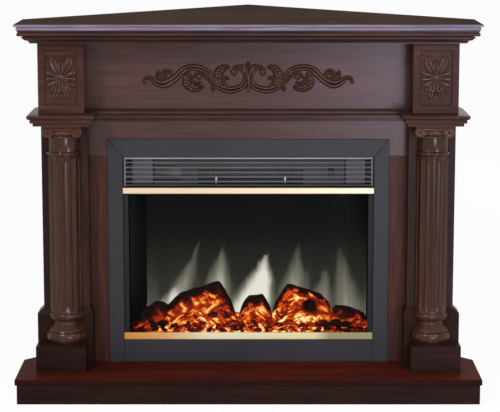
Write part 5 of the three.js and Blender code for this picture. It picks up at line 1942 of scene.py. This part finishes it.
    def build(self) -> None:
        """Builds the bed and logs, and dresses the flame effect."""
        self._embers()
        self._logs()
        tongues = (
            Tongue((-0.196, 0.225), (-0.132, 0.395), 0.034, 0.42),
            Tongue((-0.086, 0.250), (-0.070, 0.375), 0.044, 0.48),
            Tongue((0.006, 0.190), (0.052, 0.350), 0.066, 1.7),
            Tongue((0.126, 0.230), (0.142, 0.385), 0.046, 0.48),
            Tongue((0.206, 0.215), (0.212, 0.312), 0.034, 0.36),
            Tongue((0.288, 0.190), (0.254, 0.372), 0.048, 0.30),
            Tongue((-0.226, 0.205), (-0.200, 0.258), 0.036, 0.55),
            Tongue((-0.318, 0.170), (-0.322, 0.330), 0.020, 0.10),
        )
        flames = FlameScreen("flame_screen", self.floor * MM, tongues)
        dress("flame_screen", flames)
        edge, rear = self.screen.high, self.screen.low.y
        wing = rounded_box((edge.x + 0.4, rear, self.screen.low.z),
                           (self.wing_reach, edge.y - 0.4, edge.z), 0.8, 2)
        wing.add(rounded_box((self.wing_reach - 1.6, rear, self.screen.low.z),
                             (self.wing_reach, edge.y + self.wing_flange, edge.z), 0.6, 2))
        settle(wing.piece("flame_screen_wing", 40), flames)
        dress("flame_spindle", BrightMetal("spindle_steel"))
        dress("spindle_motor", Moulded("motor_plastic"), 0.4)
        dress("lamp", Moulded("warm_lamps", colour=linear(225, 215, 196), roughness=0.4, glow=0.6))


# ---- Stage -------------------------------------------------------------------------------------


@dataclass(frozen=True)
class Lamp:
    """A soft square lamp: where it hangs and aims in metres, its side, power and colour."""

    name: str
    at: Point
    aim: Point
    size: float
    power: float
    colour: Colour


@dataclass
class Studio:
    """Pale floor, white surround, soft lamps and the camera."""

    distance: float = 4.887
    eye_height: float = 1.3588
    pitch_down: float = 8.7385
    lens: float = 125.18
    shift: Flat = (0.0032, -0.10)
    ambient: float = 0.42
    floor_half: float = 30000.0
    lamps: tuple[Lamp, ...] = (
        Lamp("key_lamp", (-1.7, -3.2, 2.7), (0, -0.2, 0.5), 0.5, 54.0, (1.0, 0.93, 0.86)),
        Lamp("fill_lamp", (0.3, -4.6, 2.9), (0, -0.2, 0.5), 0.5, 19.0, (1.0, 0.97, 0.95)),
        Lamp("side_lamp", (1.9, -3.1, 1.9), (0.2, -0.2, 0.6), 0.5, 26.0, (0.84, 0.88, 1.0)),
        Lamp("low_lamp", (1.25, -4.5, 0.5), (0.5, -0.2, 0.85), 1.0, 60.0, (0.62, 0.66, 1.0)),
        Lamp("back_lamp", (0.5, 3.2, 3.0), (0, 0.2, 0.6), 3.0, 40.0, (1.0, 1.0, 1.0)),
    )

    def _floor(self) -> None:
        """Lays a wide pale floor that keeps the object's shadow."""
        corners = ((-1, -1), (1, -1), (1, 1), (-1, 1))
        points = [Vector((a * self.floor_half, b * self.floor_half, 0)) for a, b in corners]
        floor = Shell(points, [(0, 1, 2, 3)]).piece("studio_floor")
        finish = StudioFloor("studio_floor")
        floor.data.materials.append(finish.material())

    def _world(self) -> None:
        """Lights the room evenly, and shows white where nothing stands."""
        world = bpy.data.worlds.new("studio_world")
        bpy.context.scene.world = world
        tree = Tree(world)
        seen = tree.seen_directly()
        room = tree.node("ShaderNodeBackground", None, {
            "Color": (1.0, 0.985, 0.965), "Strength": self.ambient})
        white = tree.node("ShaderNodeBackground", None, {"Color": (1.0, 1.0, 1.0), "Strength": 1.0})
        mixed = tree.node("ShaderNodeMixShader", None, {0: seen, 1: room.out(), 2: white.out()})
        tree.node("ShaderNodeOutputWorld", None, {"Surface": mixed.out()})

    def _hang(self, lamp: Lamp) -> None:
        """Hangs one soft square lamp."""
        light = bpy.data.lights.new(lamp.name, "AREA")
        light.energy = lamp.power
        light.size = lamp.size
        light.color = lamp.colour
        hung = bpy.data.objects.new(lamp.name, light)
        hung.location = lamp.at
        hung.rotation_euler = (Vector(lamp.aim) - Vector(lamp.at)).to_track_quat("-Z", "Y").to_euler()
        bpy.context.scene.collection.objects.link(hung)

    def _camera(self) -> None:
        """Sets the camera at the photograph's viewing angle."""
        data = bpy.data.cameras.new("camera")
        data.lens = self.lens
        data.sensor_width = 36.0
        data.shift_x, data.shift_y = self.shift
        data.clip_end = 100.0
        camera = bpy.data.objects.new("camera", data)
        camera.location = (0.0, -self.distance, self.eye_height)
        camera.rotation_euler = (math.radians(90 - self.pitch_down), 0.0, 0.0)
        bpy.context.scene.collection.objects.link(camera)
        bpy.context.scene.camera = camera

    def build(self) -> None:
        """Sets the whole stage."""
        self._floor()
        self._world()
        for lamp in self.lamps:
            self._hang(lamp)
        self._camera()
        bpy.context.scene.view_settings.view_transform = "Standard"


@dataclass(frozen=True)
class StudioFloor(Finish):
    """Matt pale floor."""

    def paint(self, tree: Tree) -> None:
        """Adds a faint mottling."""
        cloud = tree.noise(tree.place(), 3.0, 3.0)
        pale = tree.mix(cloud, (0.86, 0.86, 0.855), (0.9, 0.9, 0.895))
        matt = tree.node("ShaderNodeBsdfDiffuse", None, {"Color": pale, "Roughness": 0.9})
        white = tree.node("ShaderNodeEmission", None, {"Color": (1.0, 1.0, 1.0), "Strength": 1.0})
        seen = tree.seen_directly()
        mixed = tree.node("ShaderNodeMixShader", None, {0: seen * 0.94, 1: matt.out(), 2: white.out()})
        tree.show(mixed.out())


def main() -> None:
    """Builds the fireplace and its stage."""
    logging.basicConfig(level=logging.INFO, format="%(message)s")
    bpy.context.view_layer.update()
    parts = (Studio(), Surround(), Mouldings(), Columns(), Capitals(), Carving(), FireFront(), FireBed())
    for part in parts:
        LOG.info("building %s", type(part).__name__)
        part.build()


if __name__ == "__main__":
    main()
